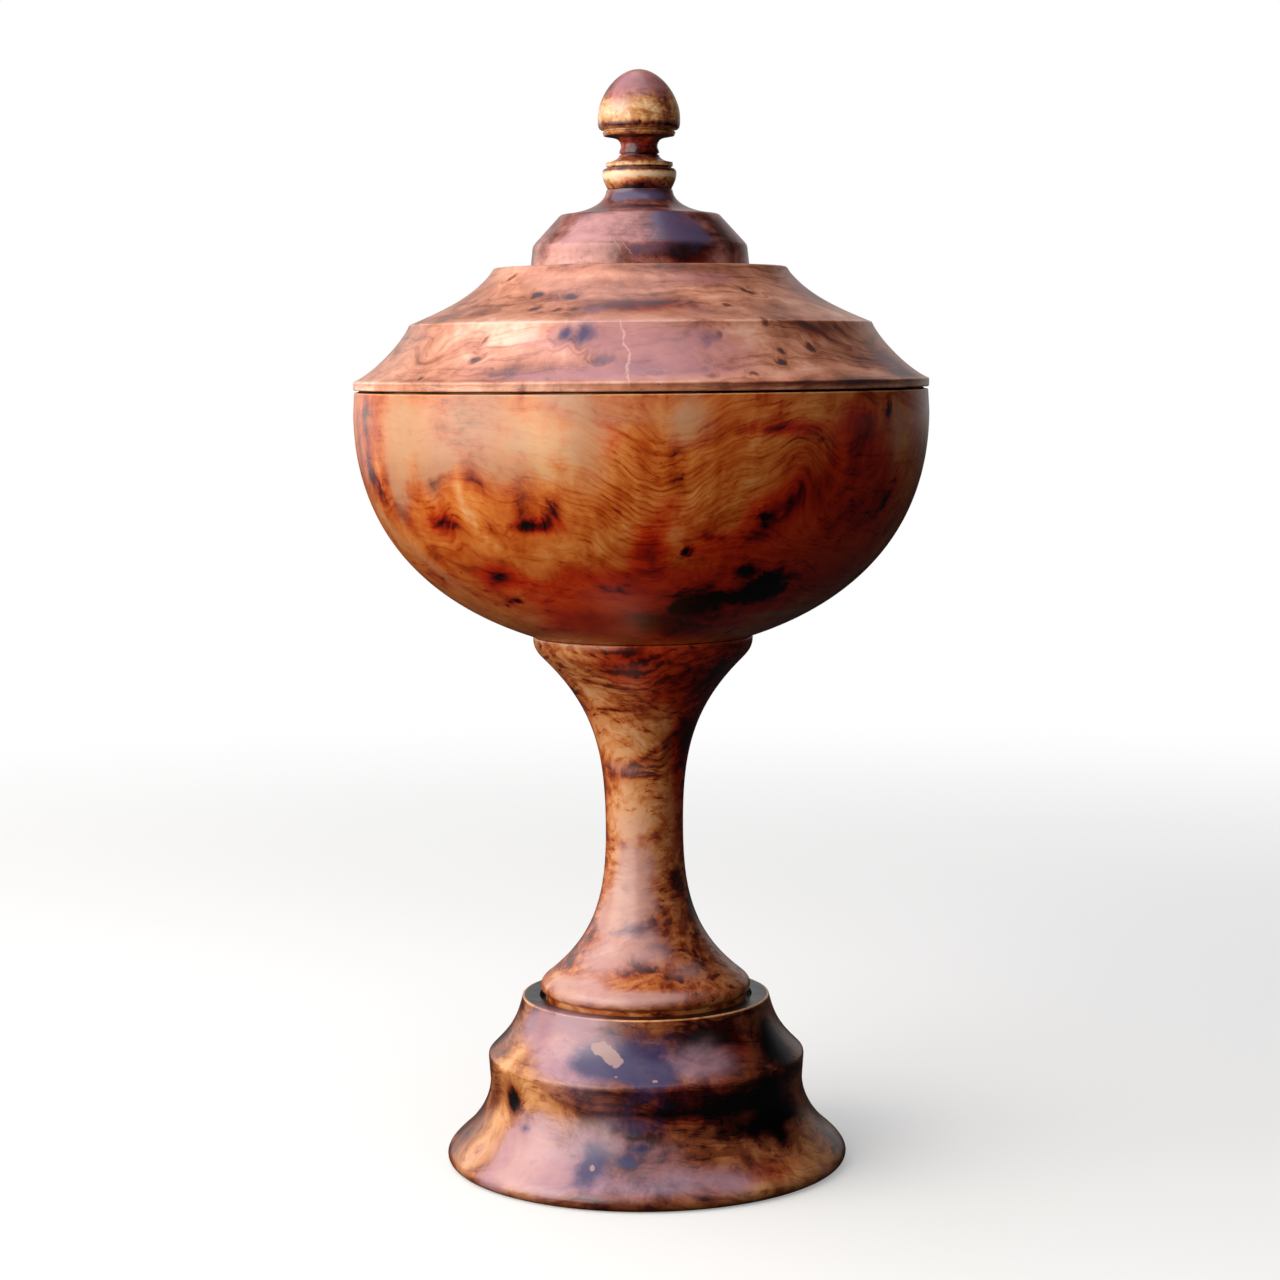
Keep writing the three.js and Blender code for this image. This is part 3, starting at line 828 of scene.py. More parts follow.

    # The wood is reddened along flames and halos and in painted patches, some of them painted shade
    # on the darker sides. Haze and painted sheen lie over it, and blue stains and painted
    # reflections.
    red = recipe.sum("MULTIPLY_ADD", flame, FLAME_RED, recipe.layer("red"))
    red = recipe.sum("MULTIPLY_ADD", halo, HALO_RED, red)
    red = recipe.between(recipe.swing(feather, RED_FEATHER, red), *RED_RANGE)
    shade = recipe.blend(red, shade, (*wood.red, 1), "MULTIPLY")
    streaks = recipe.swing(bands, HAZE_AND_SHEEN_BANDING, recipe.swing(mottle, HAZE_AND_SHEEN_MOTTLE, 1.0))
    haze = recipe.sum("MULTIPLY", streaks, recipe.layer("haze"))
    haze = recipe.between(haze, *HAZE_AND_SHEEN_RANGE, 0.0, wood.haze_cover)
    shade = recipe.blend(haze, shade, (*wood.haze, 1))
    ink = recipe.swing(feather, STAIN_AND_REFLECTION_FEATHER, recipe.layer("ink"))
    ink = recipe.between(ink, *STAIN_AND_REFLECTION_RANGE)
    shade = recipe.blend(ink, shade, (*wood.ink, 1))

    # Fibres stand a little proud, and chips and scratches lay the wood bare.
    relief = recipe.sum("MULTIPLY", fibres, FIBRE_RELIEF)
    if chips:
        chip = recipe.between(nearest_mark(recipe, ragged, turning, chips), *CHIP_RANGE)
        shade = recipe.blend(chip, shade, (*wood.scar, 1))
        relief = recipe.sum("SUBTRACT", relief, chip)
    if scratches:
        scratch = nearest_mark(recipe, ragged, turning, scratches)
        scratch = recipe.between(scratch, *SCRATCH_RANGE)
        pale = recipe.sum("MULTIPLY", scratch, SCRATCH_PALE)
        shade = recipe.blend(pale, shade, (*wood.scar, 1))
        relief = recipe.sum("SUBTRACT", relief, scratch)
    polished(recipe, piece, wood, place, shade, relief, mottle)


def seat(piece, body, node):
    """Says which body carries a piece and which part of the frame it stands for."""
    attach(piece, body)
    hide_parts(node)


def make(node, cut, wood, patches, marks, body):
    """Turns a piece from its outline, paints it, polishes it and seats it."""
    turning = Turning(f"{node}_turned", cut)
    for layer, spots in patches.items():
        turning.paint(layer, spots)
    burr_wood(turning, wood, **marks)
    seat(turning.piece, body, node)


# What the photograph shows on each piece, its light and shade too: many patches are painted
# highlights, sheen, reflections and shade. A patch is its pixel across and down, its half width and
# half height in millimetres, its strength, and its degrees of lean if it isn't upright. A lift's
# strength is in millimetres too. A mark has its degrees of lean in place of a strength. A patch
# that goes all round a piece has RING as its half width.
RING = 500

PLINTH_PATCHES = {
    # Among the tone patches are painted shade on the right and in the cove's deepest shadow, and
    # painted light on the left edge and along the land's rim.
    "tone": (
        (775, 1045, 10, 14, -0.55), (770, 1108, 7, 11, -0.75), (735, 1106, 14, 5, -0.34),
        (750, 1085, 9, 5, -0.14), (555, 1085, 7, 5, 0.2), (555, 1048, 8, 6, 0.14),
        (521, 1160, 7, 10, 0.16), (559, 1119, 7, 4, 0.18), (759, 1187, 7, 4, 0.14),
        (675, 1187, 12, 4, -0.12), (636, 1140, 9, 4, -0.1), (690, 1106, 20, 4, -0.5),
        (790, 1108, 8, 6, -0.3), (630, 1104, 22, 3.5, -0.44), (575, 1090, 14, 3, -0.2),
        (545, 1104, 12, 3, 0.1), (478, 1150, 11, 13, 0.46), (514, 1101, 3.2, 3.4, -0.5),
        (492, 1090, 5, 8, 0.14), (538, 1098, 7, 3, 0.16), (503, 1115, 9, 6, 0.35),
        (507, 1062, 7, 8, 0.34), (512, 1180, 12, 4, 0.3), (808, 1150, 11, 8, 0.2),
        (790, 1178, 16, 6, 0.24), (530, 1108, 7, 4, 0.16), (545, 1140, 12, 8, 0.16),
        (559, 1041, 7, 6, 0.2), (745, 1075, 14, 5, -0.12), (522, 1041, 4, 6, -0.1),
        (462, 1166, 5, 8, 0.2), (725, 1150, 9, 6, 0.1), (770, 1155, 9, 6, 0.15),
        (836, 1142, 5, 10, -0.3), (533, 1022, 3, 4.5, -0.45, 15), (702, 1042, 12, 8, -0.24),
        (724, 1028, 12, 5, -0.2), (745, 1128, 14, 4, -0.35), (655, 1165, 14, 8, -0.2),
        (660, 1188, 16, 3, -0.12), (524, 1050, 6, 8, 0.3), (526, 1084, 8, 4, 0.3),
        (730, 1172, 10, 5, -0.1), (520, 1165, 16, 8, 0.3), (650, 1196, 30, 2, 0.1),
        (575, 1008, 26, 2.4, 0.3),
    ),
    "red": (
        (725, 1048, 14, 9, 0.9), (690, 1105, 30, 6, 1.0), (712, 1107, 14, 4, 0.4),
        (780, 1165, 14, 8, 0.3), (740, 1182, 16, 4, 0.4),
    ),
    # Most haze patches are painted sheen: reflections of the lamps on the upward slopes and at the
    # left.
    "haze": (
        (548, 1030, 14, 8, 1.6), (590, 1046, 16, 9, 0.7), (555, 1050, 8, 7, 0.7),
        (700, 1062, 14, 8, 0.9), (575, 1072, 13, 6, 1.2), (540, 1145, 14, 9, 1.4),
        (560, 1176, 16, 6, 1.1), (606, 1140, 12, 8, 0.9), (700, 1176, 22, 5, 0.4),
        (535, 1186, 14, 4, 0.6), (662, 1153, 9, 6, 0.4), (735, 1187, 9, 4, 0.4),
        (585, 1018, 12, 4, 0.4), (521, 1176, 8, 7, 0.15), (640, 1192, 34, 5, 0.5),
        (580, 1010, 16, 3, 1.0), (545, 1118, 8, 3, 0.3), (508, 1155, 8, 11, 0.9),
        (484, 1148, 7, 9, 0.3), (525, 1140, 8, 7, 0.4), (491, 1177, 8, 6, 0.6),
        (462, 1168, 5, 8, 0.4), (826, 1172, 7, 8, 0.3),
    ),
    # The blue patches are blue stains and painted reflections of the blue light overhead.
    "ink": (
        (632, 1058, 14.5, 9, 1.15), (656, 1078, 8, 5, 1.2), (598, 1066, 12, 5, 0.7),
        (590, 1169, 5.4, 8, 1.1, 15), (627, 1162, 2.8, 2.2, 1.5), (582, 1060, 8, 7, 0.25),
        (535, 1176, 12, 6, 0.12), (593, 1143, 7, 5, 0.26), (576, 1181, 16, 5, 0.12),
        (627, 1078, 8, 4, 0.14), (526, 1128, 3, 1.8, 0.8), (622, 1124, 14, 4, 0.4),
        (645, 1130, 9, 3.4, 0.35), (640, 1149, 3.4, 1.6, 1.0), (612, 1160, 14, 5, 0.1),
    ),
    "lift": ((475, 1150, 12, 10, 9),),
}
PLINTH_MARKS = {
    "knots": (
        (515, 1102, 3.2, 3.2, 0), (628, 1163, 1.6, 1.2, 0), (634, 1133, 1.4, 1.0, 0),
        (642, 1151, 1.8, 0.7, 0),
    ),
    "chips": (
        (601, 1049, 3.7, 2.3, 15), (609, 1054, 3.9, 2.6, 32), (616, 1060, 2.6, 1.9, 45),
        (616, 1077, 0.5, 0.4, 0), (655, 1081, 0.8, 0.35, 0), (592, 1168, 1.2, 0.9, 20),
    ),
}

STEM_PATCHES = {
    # Among the tone patches are painted shade down the right side, and painted highlights along the
    # head's top edge and on the left of the foot.
    "tone": (
        (572, 655, 9, 9, 0.3), (618, 653, 9, 0.8, -0.34), (628, 672, 11, 0.9, -0.4),
        (606, 685, 8, 0.8, -0.3, 10), (616, 710, 8, 1.2, -0.34), (655, 664, 12, 7, -0.14),
        (590, 670, 5, 4, -0.14), (712, 652, 5, 4, -0.14), (660, 650, 8, 2, 0.14),
        (593, 705, 6, 3, -0.12, 25), (598, 694, 9, 5, 0.36), (610, 710, 4, 4, 0.2),
        (636, 706, 7, 4, -0.2), (657, 730, 6, 4, 0.12), (680, 728, 3, 5, -0.3),
        (619, 732, 7, 5, 0.3), (645, 726, 6, 5, 0.2), (620, 751, 6, 3.4, 0.6),
        (642, 748, 5, 3.4, 0.26), (710, 680, 16, 16, -0.36), (688, 735, 5, 12, -0.5),
        (634, 769, 10, 4, -0.08), (661, 744, 6, 0.7, -0.3, -35), (655, 752, 8, 1.0, -0.36, -30),
        (630, 774, 6, 1.0, -0.25, -15), (613, 772, 2, 1.2, -0.3), (617, 789, 1.6, 0.8, -0.4, 20),
        (618, 808, 1.0, 2.4, -0.34, 10), (622, 845, 2.6, 1.4, -0.34), (620, 798, 7, 9, 0.25),
        (632, 818, 7, 7, 0.34), (640, 722, 1.6, 1.0, -0.3, -20), (622, 738, 2.0, 0.8, -0.3, 25),
        (640, 800, 1.2, 1.8, -0.3, 20), (630, 822, 2.4, 0.8, -0.3, 30), (646, 812, 1.0, 1.6, -0.25),
        (664, 822, 2.0, 2.6, -0.3), (628, 846, 3.4, 0.8, -0.3, -10), (630, 830, 7, 4, 0.4),
        (645, 805, 8, 12, 0.16), (655, 836, 5, 2.0, -0.4), (608, 838, 3, 2, -0.2),
        (650, 880, 5, 6, -0.12), (694, 912, 3, 5, -0.26), (552, 988, 3, 4, -0.25),
        (672, 952, 5, 4, -0.14), (706, 968, 10, 4, -0.16), (570, 968, 6, 3, -0.22),
        (632, 972, 5, 2.4, -0.2), (650, 850, 8, 4, 0.2), (682, 810, 3, 14, -0.34),
        (677, 880, 3.4, 3.6, -0.4), (689, 902, 1.6, 3, -0.3, -15), (615, 870, 6, 12, 0.26),
        (590, 950, 12, 0.7, -0.34, -28), (582, 958, 12, 0.7, -0.3, -30),
        (600, 954, 11, 0.7, 0.4, -26), (578, 968, 11, 0.8, 0.3, -28), (564, 984, 9, 5, 0.5),
        (600, 990, 8, 4, 0.3), (660, 984, 16, 4, -0.08), (565, 962, 8, 4, -0.2),
        (622, 905, 6, 9, 0.24), (662, 930, 6, 5, -0.14), (670, 910, 3, 4, 0.12),
        (645, 643, 40, 0.7, 0.3),
    ),
    # The red patches down the right side are partly painted shade.
    "red": (
        (715, 685, 18, 20, 1.4), (650, 668, 20, 9, 1.3), (690, 650, 18, 5, 0.8),
        (660, 698, 12, 7, 0.5), (684, 730, 4, 7, 1.0), (683, 750, 6, 18, 1.0),
        (690, 735, 6, 12, 0.8), (679, 830, 5, 16, 0.6), (616, 711, 8, 3, 0.3),
    ),
    # Most haze patches are painted highlights and sheen on the foot's flare and along its nose.
    "haze": (
        (620, 768, 8, 4, 0.5), (640, 770, 8, 3, 0.25), (636, 852, 7, 6, 0.6), (646, 906, 6, 5, 0.5),
        (630, 825, 7, 5, 0.7), (634, 872, 8, 8, 0.8), (624, 908, 8, 9, 1.6), (606, 920, 6, 6, 1.2),
        (650, 950, 8, 6, 0.9), (640, 930, 5, 4, 0.5), (600, 958, 12, 6, 1.1),
        (575, 988, 14, 5, 1.3), (690, 970, 8, 5, 0.6), (650, 998, 20, 2.4, 0.6),
        (620, 1000, 24, 3, 0.9),
    ),
    # The blue patches are stains and painted reflections.
    "ink": (
        (636, 930, 10, 3.4, 0.75, -15), (660, 946, 6, 3, 0.5), (636, 772, 9, 2.4, 0.14),
        (612, 912, 6, 4, 0.25, -20), (626, 890, 3, 2, 0.3),
    ),
    "burr": (
        (673, 875, 3.0, 3.0, 0.6), (697, 948, 1.6, 3.0, 0.5, -15), (704, 960, 1.4, 2.6, 0.5, -10),
        (674, 978, 3.6, 1.6, 0.5, 20), (640, 962, 5, 1.4, 0.2, 25), (585, 695, 4, 3, 0.3, 30),
        (733, 655, 6, 7, 0.5), (655, 775, 8, 4, 0.25), (690, 905, 1.4, 2.4, 0.5),
    ),
    "lift": ((625, 674, 14, 11, 7), (655, 750, 6, 8, 5)),
    "ripple": (
        (628, 672, 22, 14, 1.3), (640, 765, 10, 8, 1.2), (640, 820, 10, 14, 0.5),
        (625, 890, 10, 10, 0.6),
    ),
}
STEM_MARKS = {
    "knots": (
        (632, 961, 1.2, 0.7, 60), (637, 966, 2.2, 0.6, 35), (648, 970, 2.6, 0.55, 5),
        (656, 968, 0.9, 0.45, -35), (667, 977, 1.0, 0.8, 0), (680, 981, 1.2, 0.7, 0),
        (696, 954, 0.6, 1.6, -20), (702, 964, 0.5, 1.0, 0),
    ),
}

BOWL_PATCHES = {
    # Among the tone patches are painted shade on the right side and along the bottom, and paler
    # wood at the upper left that is partly painted light.
    "tone": (
        (402, 435, 10, 14, 0.42), (536, 440, 14, 13, 0.45), (572, 455, 1.6, 15, 0.2, 8),
        (552, 480, 1.2, 16, 0.25, 8), (541, 470, 1.0, 12, 0.2, 5), (457, 482, 1.0, 9, 0.3),
        (470, 502, 7, 10, 0.2, -20), (488, 538, 1.6, 14, 0.25, -38), (519, 577, 1.5, 6, 0.2, -38),
        (438, 458, 6, 5, -0.1), (440, 545, 12, 6, 0.1), (366, 430, 4, 18, -0.36),
        (415, 448, 12, 8, 0.2), (505, 440, 8, 9, 0.18), (398, 515, 2, 14, 0.12, -25),
        (442, 524, 9, 5, -0.22), (520, 505, 3, 7, -0.2), (536, 500, 6, 8, -0.1),
        (533, 527, 8, 3, -0.14), (553, 510, 1.8, 8, -0.2, 12), (648, 478, 8, 10, -0.05),
        (600, 450, 10, 12, 0.1), (640, 440, 14, 10, 0.08), (402, 515, 6, 7, -0.46),
        (358, 425, 3, 14, -0.26), (575, 414, 12, 4, -0.08), (904, 440, 6, 14, 0.16),
        (434, 488, 5, 6, -0.2), (435, 553, 6, 5, -0.14), (469, 519, 5, 6, 0.16),
        (503, 555, 6, 5, -0.1), (580, 412, 12, 5, -0.1), (537, 621, 8, 6, 0.26),
        (571, 590, 8, 6, 0.1), (843, 465, 6, 14, 0.14), (770, 485, 18, 8, 0.08),
        (707, 519, 7, 7, 0.1), (380, 478, 2.4, 6, 0.2, -10), (860, 540, 10, 10, 0.2, 30),
        (433, 500, 5, 5, 0.16), (500, 505, 8, 6, 0.1), (560, 560, 16, 9, 0.1, -20),
        (500, 577, 7, 5, -0.26), (518, 590, 5, 2, 0.2, -30), (500, 600, 9, 4, -0.12),
        (646, 550, 5, 11, -0.2), (615, 618, 24, 6, -0.12), (660, 620, 16, 9, -0.3),
        (690, 632, 20, 10, -0.3), (630, 605, 14, 8, 0.12), (752, 447, 3.6, 11, 0.2),
        (664, 460, 2.6, 14, 0.12), (776, 404, 5, 3, -0.2), (820, 405, 10, 4.5, 0.12),
        (780, 427, 12, 1.2, -0.26), (822, 438, 8, 1.2, -0.22, 15), (855, 447, 3, 10, -0.2, 5),
        (842, 455, 1.6, 6, 0.12, 10), (845, 492, 16, 14, -0.12), (870, 520, 12, 16, -0.14),
        (764, 525, 4, 9, -0.22, 12), (797, 500, 4, 8, -0.2, 15), (692, 474, 9, 9, -0.08),
        (735, 500, 10, 10, 0.12), (530, 560, 14, 6, 0.12), (670, 560, 12, 6, 0.1),
        (548, 545, 10, 6, 0.14), (484, 545, 8, 6, 0.14), (724, 538, 12, 1.4, -0.22),
        (810, 520, 5, 5, 0.16), (768, 545, 6, 2, 0.12), (890, 480, 5, 12, -0.1, 10),
        (705, 603, 20, 8, -0.3), (765, 590, 14, 8, -0.2), (820, 585, 14, 6, -0.1),
    ),
    # The large red patches on the right side and along the bottom are partly painted shade.
    "red": (
        (860, 500, 24, 26, 1.3), (855, 447, 5, 12, 0.8), (785, 428, 16, 2.5, 0.9),
        (776, 404, 6, 4, 0.7), (810, 560, 30, 16, 1.4), (762, 522, 7, 12, 0.9),
        (797, 500, 7, 11, 1.0), (730, 545, 16, 6, 0.8), (700, 600, 28, 12, 1.3),
        (640, 618, 40, 20, 1.5), (600, 585, 20, 8, 0.6), (648, 550, 6, 11, 0.9),
        (500, 578, 9, 6, 1.1), (442, 524, 10, 6, 0.7), (538, 525, 10, 4, 0.8),
        (605, 430, 8, 14, 0.5), (672, 515, 9, 8, 0.5),
    ),
    # Most haze patches are painted sheen at the upper left and painted reflections along the lower
    # edges and the right edge.
    "haze": (
        (400, 430, 13, 16, 1.0), (368, 417, 5, 7, 0.4), (575, 410, 12, 5, 0.25),
        (401, 519, 6, 6, 0.25), (436, 458, 9, 7, 1.0), (470, 415, 20, 10, 1.0),
        (505, 460, 18, 11, 0.7), (562, 402, 8, 4, 1.0), (585, 445, 8, 15, 0.7),
        (628, 410, 12, 7, 0.5), (690, 420, 8, 10, 0.7), (897, 428, 6, 14, 0.55),
        (385, 520, 4, 20, 0.55, -25), (437, 570, 4, 16, 0.6, -35), (398, 485, 7, 8, 1.1, -10),
        (430, 486, 5, 6, 0.5), (922, 445, 4, 20, 0.6), (790, 612, 24, 3, 0.9),
    ),
    "burr": (
        (764, 590, 9, 6, 1.2, 10), (780, 573, 6, 4, 0.9, 20), (744, 572, 6, 4, 0.7),
        (715, 600, 14, 6, 0.6, 10), (682, 609, 5, 3, 0.9), (795, 503, 2.2, 6, 0.75, 15),
        (760, 520, 2.0, 6, 0.45, 10), (655, 624, 8, 4, 0.25), (531, 527, 7, 2.4, 0.75),
        (550, 514, 2.2, 6, 0.6, 14), (522, 512, 2.5, 4, 0.4, -8), (444, 522, 7, 2, 0.35),
        (430, 528, 5, 1.6, 0.3), (502, 577, 5.5, 3.6, 0.4, -30), (486, 590, 4, 2, 0.4),
        (512, 601, 6, 2.4, 0.5, -20), (686, 552, 1.6, 2.6, 0.8, 20), (889, 408, 0.9, 4, 0.9),
        (885, 500, 2, 8, 0.5, 25), (600, 590, 12, 3, 0.35),
    ),
    "lift": (
        (662, 500, 24, 44, 14), (536, 515, 6, 8, -8), (800, 470, 9, 12, -9), (840, 440, 8, 10, 5),
        (455, 520, 5, 16, -5), (735, 450, 5, 14, -3),
    ),
    "ripple": (
        (710, 480, 34, 26, 1.0), (615, 490, 14, 26, 1.1), (500, 545, 10, 9, 0.5),
        (752, 447, 4, 12, 0.9), (820, 445, 14, 8, 0.5), (395, 430, 8, 14, 0.8),
    ),
}
BOWL_MARKS = {
    "knots": ((684, 552, 0.9, 1.4, 20), (519, 601, 1.2, 0.7, 20), (507, 605, 0.8, 0.6, 0)),
}

LID_PATCHES = {
    # Among the tone patches are a painted highlight on the left of the lower tier, and painted
    # shade towards the right, deepest along the right of the edge.
    "tone": (
        (505, 346, 15, 8, 0.22), (440, 345, 10, 8, 0.12), (495, 290, 8, 7, 0.1),
        (590, 275, 22, 2, 0.14), (545, 298, 16, 4, -0.14), (640, 306, 16, 5.4, -0.22),
        (672, 302, 16, 4.5, -0.26), (680, 282, 12, 1.2, -0.12), (598, 308, 9, 6, -0.32),
        (533, 313, 6, 4, -0.12), (703, 311, 9, 4, -0.14), (567, 352, 7, 5, 0.24),
        (785, 345, 14, 6, 0.12), (431, 376, 7, 3, 0.14), (737, 378, 7, 3, 0.1),
        (907, 378, 5, 4, -0.16), (740, 300, 8, 5, -0.14), (742, 338, 12, 6, 0.2),
        (542, 296, 10, 3, -0.14), (668, 267, 18, 2.4, -0.24), (636, 362, 9, 4, -0.2),
        (736, 328, 10, 4, 0.14), (478, 330, 9, 5, 0.2), (520, 334, 8, 5, 0.25),
        (545, 345, 8, 7, 0.2), (730, 275, 20, 9, -0.16), (810, 326, 12, 4, -0.26),
        (848, 328, 10, 4, -0.34), (880, 355, 12, 9, -0.34), (908, 374, 10, 5, -0.4),
        (815, 295, 22, 9, -0.42), (650, 370, 34, 4, -0.22), (560, 376, 20, 2.5, -0.18),
        (500, 368, 20, 1.0, -0.12, -6), (618, 342, 12, 4, -0.12), (735, 345, 20, 8, -0.1),
        (655, 376, 3, 1.5, 0.15), (735, 368, 12, 3, 0.08), (600, 387, 26, 1.6, -0.14),
        (700, 386, 20, 1.6, -0.28), (780, 384, 20, 1.6, -0.4), (860, 380, 22, 1.8, -0.5),
    ),
    "red": ((820, 328, 16, 5, 0.3), (642, 306, 16, 5, 0.6), (800, 384, 34, 1.6, 0.5)),
    # The haze patches are partly painted sheen of the light overhead.
    "haze": (
        (610, 340, 20, 9, 1.0), (692, 345, 22, 10, 1.0), (640, 372, 36, 5, 0.9),
        (800, 285, 18, 8, 0.5), (885, 360, 10, 8, 0.6), (540, 345, 10, 6, 0.5),
        (705, 278, 16, 4, 0.7), (592, 310, 6, 4, 0.6), (705, 310, 9, 4, 0.4),
        (530, 378, 24, 2.5, 0.7),
    ),
    "ink": (
        (592, 311, 6, 3, 0.35), (565, 334, 2.6, 5, 0.9, 15), (584, 334, 2.8, 5, 1.0, 12),
        (602, 332, 8, 5, 0.4), (711, 337, 5, 3.6, 0.6, 30), (537, 296, 3, 1.8, 0.4),
        (668, 372, 12, 3, 0.25),
    ),
    "lift": (
        (492, 290, 6, 7, -8), (430, 355, 9, 7, 8), (560, 366, 20, 5, 3), (866, 345, 30, 14, 14),
        (700, 340, 10, 8, -4),
    ),
}
LID_MARKS = {
    "knots": (
        (512, 278, 2.2, 0.7, -25), (537, 296, 1.9, 0.9, 0), (571, 297, 1.9, 0.8, 0),
        (535, 309, 1.8, 0.4, -8), (557, 310, 1.4, 0.4, 0), (573, 309, 1.4, 0.4, 0),
        (565, 333, 1.0, 2.4, 20), (584, 334, 1.2, 2.6, 14), (486, 340, 0.6, 1.3, 15),
        (476, 360, 1.9, 0.8, -25), (420, 379, 0.9, 0.8, -25), (603, 359, 2.2, 1.2, 0),
        (513, 375, 0.9, 0.5, 0), (547, 379, 0.8, 0.6, 0), (747, 291, 2.8, 0.7, 20),
        (729, 306, 2.0, 0.4, 5), (765, 322, 1.2, 1.1, 20), (719, 335, 1.2, 1.0, 0),
        (706, 345, 1.0, 0.8, 0), (781, 351, 1.4, 0.8, 15), (782, 362, 1.2, 1.0, 30),
        (810, 347, 1.3, 1.3, 40), (703, 369, 1.3, 0.7, 0), (713, 375, 1.1, 0.8, 0),
        (753, 374, 1.2, 0.6, 10), (656, 373, 2.6, 0.6, 0),
    ),
    "scratches": (
        (620, 323, 0.4, 2.0, -14), (623, 334, 0.45, 2.4, -10), (626, 346, 0.4, 2.0, -22),
        (629, 356, 0.5, 1.8, 4), (627, 366, 0.45, 2.2, 16), (628, 378, 0.5, 2.6, -8),
    ),
}

CAP_PATCHES = {
    # Among the tone patches are painted light on the left of the slope and painted shade on the
    # right.
    "tone": (
        (585, 228, 9, 5, 0.4), (610, 220, 9, 3, 0.26), (640, 236, 7, 4, 0.22),
        (553, 250, 6, 3, 0.3), (572, 256, 8, 3, 0.3), (628, 254, 9, 4, -0.2),
        (640, 206, 10, 1.6, -0.4), (640, 196, 10, 2.5, -0.2), (684, 253, 9, 4.4, -0.6),
        (696, 250, 6, 4.4, -0.3), (730, 242, 3, 6, -0.3), (731, 258, 4, 3, -0.2),
        (546, 246, 3, 6, -0.16), (612, 256, 5, 3, 0.2), (592, 213, 7, 1.6, -0.1),
    ),
    "red": ((688, 254, 10, 4, 1.1), (545, 258, 6, 3, 0.3)),
    # Most haze patches are painted sheen on the leaning shoulder.
    "haze": (
        (600, 228, 18, 5.5, 1.3), (625, 220, 10, 3, 0.8), (643, 252, 9, 3.6, 0.7),
        (575, 250, 10, 4.5, 1.0), (722, 228, 6, 6, 0.4), (726, 254, 6, 4, 0.5),
        (610, 256, 7, 3, 0.5),
    ),
    # The blue patches are mostly painted reflections of the blue light overhead.
    "ink": (
        (640, 195, 10, 2.0, 1.6), (662, 224, 5.5, 5.8, 1.7), (684, 228, 8, 6, 1.7),
        (700, 232, 5, 5, 1.0), (640, 250, 7, 2.6, 0.9),
    ),
}
CAP_MARKS = {
    "knots": ((668, 222, 0.4, 0.4, 0),),
    "scratches": ((616, 243, 0.22, 3.0, -30), (627, 248, 0.2, 3.4, -35)),
}

FINIAL_PATCHES = {
    # Among the tone patches are a painted highlight at the knob's left, painted shade at its right,
    # thin painted highlights on the lip and the neck's ring, and darker rings of painted shade in
    # the grooves.
    "tone": (
        (638, 109, RING, 4.2, 0.3), (616, 104, 5, 6, 0.25), (667, 106, 3, 9, -0.2),
        (638, 78, RING, 3.4, -0.24), (638, 98, RING, 3, 0.12), (638, 123, RING, 0.8, -0.4),
        (638, 129, RING, 0.5, 0.45), (638, 135, RING, 1.8, -0.5), (638, 149, RING, 3.2, -0.3),
        (638, 148, RING, 0.5, 0.4), (638, 163, RING, 0.6, 0.5), (638, 168, RING, 0.6, -0.4),
        (638, 173, RING, 1.0, 0.4), (638, 175, RING, 1.8, 0.24), (616, 176, 5, 3, 0.2),
        (638, 186, 10, 1.8, -0.3), (632, 179, 5, 2, 0.12), (618, 178, 4, 2, 0.2),
    ),
    "red": (
        (638, 145, RING, 4, 1.0), (618, 86, 5, 5, 0.6), (662, 92, 4, 4, 0.25),
        (640, 182, 9, 2.6, 0.4),
    ),
    # The haze patches on the knob's top are painted reflections of the light overhead.
    "haze": (
        (640, 82, 9, 5, 0.9), (622, 86, 6, 5, 1.1), (618, 100, 5, 5, 0.7), (642, 72, 10, 4, 1.0),
        (656, 84, 6, 6, 0.7),
    ),
}
FINIAL_MARKS = {
    "knots": ((640, 121, 0.25, 0.4, 10),),
}


class PIECE_OT_plinth(Operator):
    """Turns and polishes the two-tier foot"""

    bl_idname = "burr_bowl.plinth"
    bl_label = "Plinth"

    def execute(self, context):
        """Makes the foot."""
        s = context.scene.burr_bowl.plinth
        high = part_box("plinth")[1]
        stem = context.scene.burr_bowl.stem
        recess_radius = s.land_radius - s.land_width
        recess_floor = high.z - s.recess_depth
        socket = stem.tenon_radius + TENON_SLACK
        socket_floor = recess_floor - stem.lower_tenon - TENON_END_ROOM
        dish = s.foot_radius - s.rest_width
        cut = Outline(0, 0, s.dish_depth)
        cut.line((dish - s.dish_depth, s.dish_depth), (dish, 0), (s.foot_radius, 0))
        cut.bare = 0.0
        cut.bend(high.x, s.skirt_rise, OUT, UP)
        cut.bend(high.x - s.skirt_fall, s.skirt_shoulder, UP, s.skirt_slope, BRIEFLY)
        cut.bend(s.bead_radius - s.cove_depth, s.cove_height, s.skirt_slope, UP, EVENLY)
        cut.corner(s.bead_radius, s.bead_height, s.sweep_slope, s.bead_round, wear=0.15)
        cut.bend(s.land_radius, high.z - SMALL_ROUND, s.sweep_slope, s.sweep_top)
        cut.arris(s.land_radius - SMALL_ROUND, high.z, s.sweep_top, IN)
        # Painted shade on the land, under the overhang of the stem's foot.
        cut.grimy = 0.8
        cut.line((s.land_radius - 2 * SMALL_ROUND, high.z))
        cut.corner(recess_radius, high.z, DOWN, SMALL_ROUND / 2, wear=0.0)
        cut.bare = 1.0
        cut.line(
            (recess_radius, recess_floor), (socket, recess_floor), (socket, socket_floor),
            (0, socket_floor),
        )
        make("plinth", cut, s, PLINTH_PATCHES, PLINTH_MARKS, STAND)
        return {"FINISHED"}


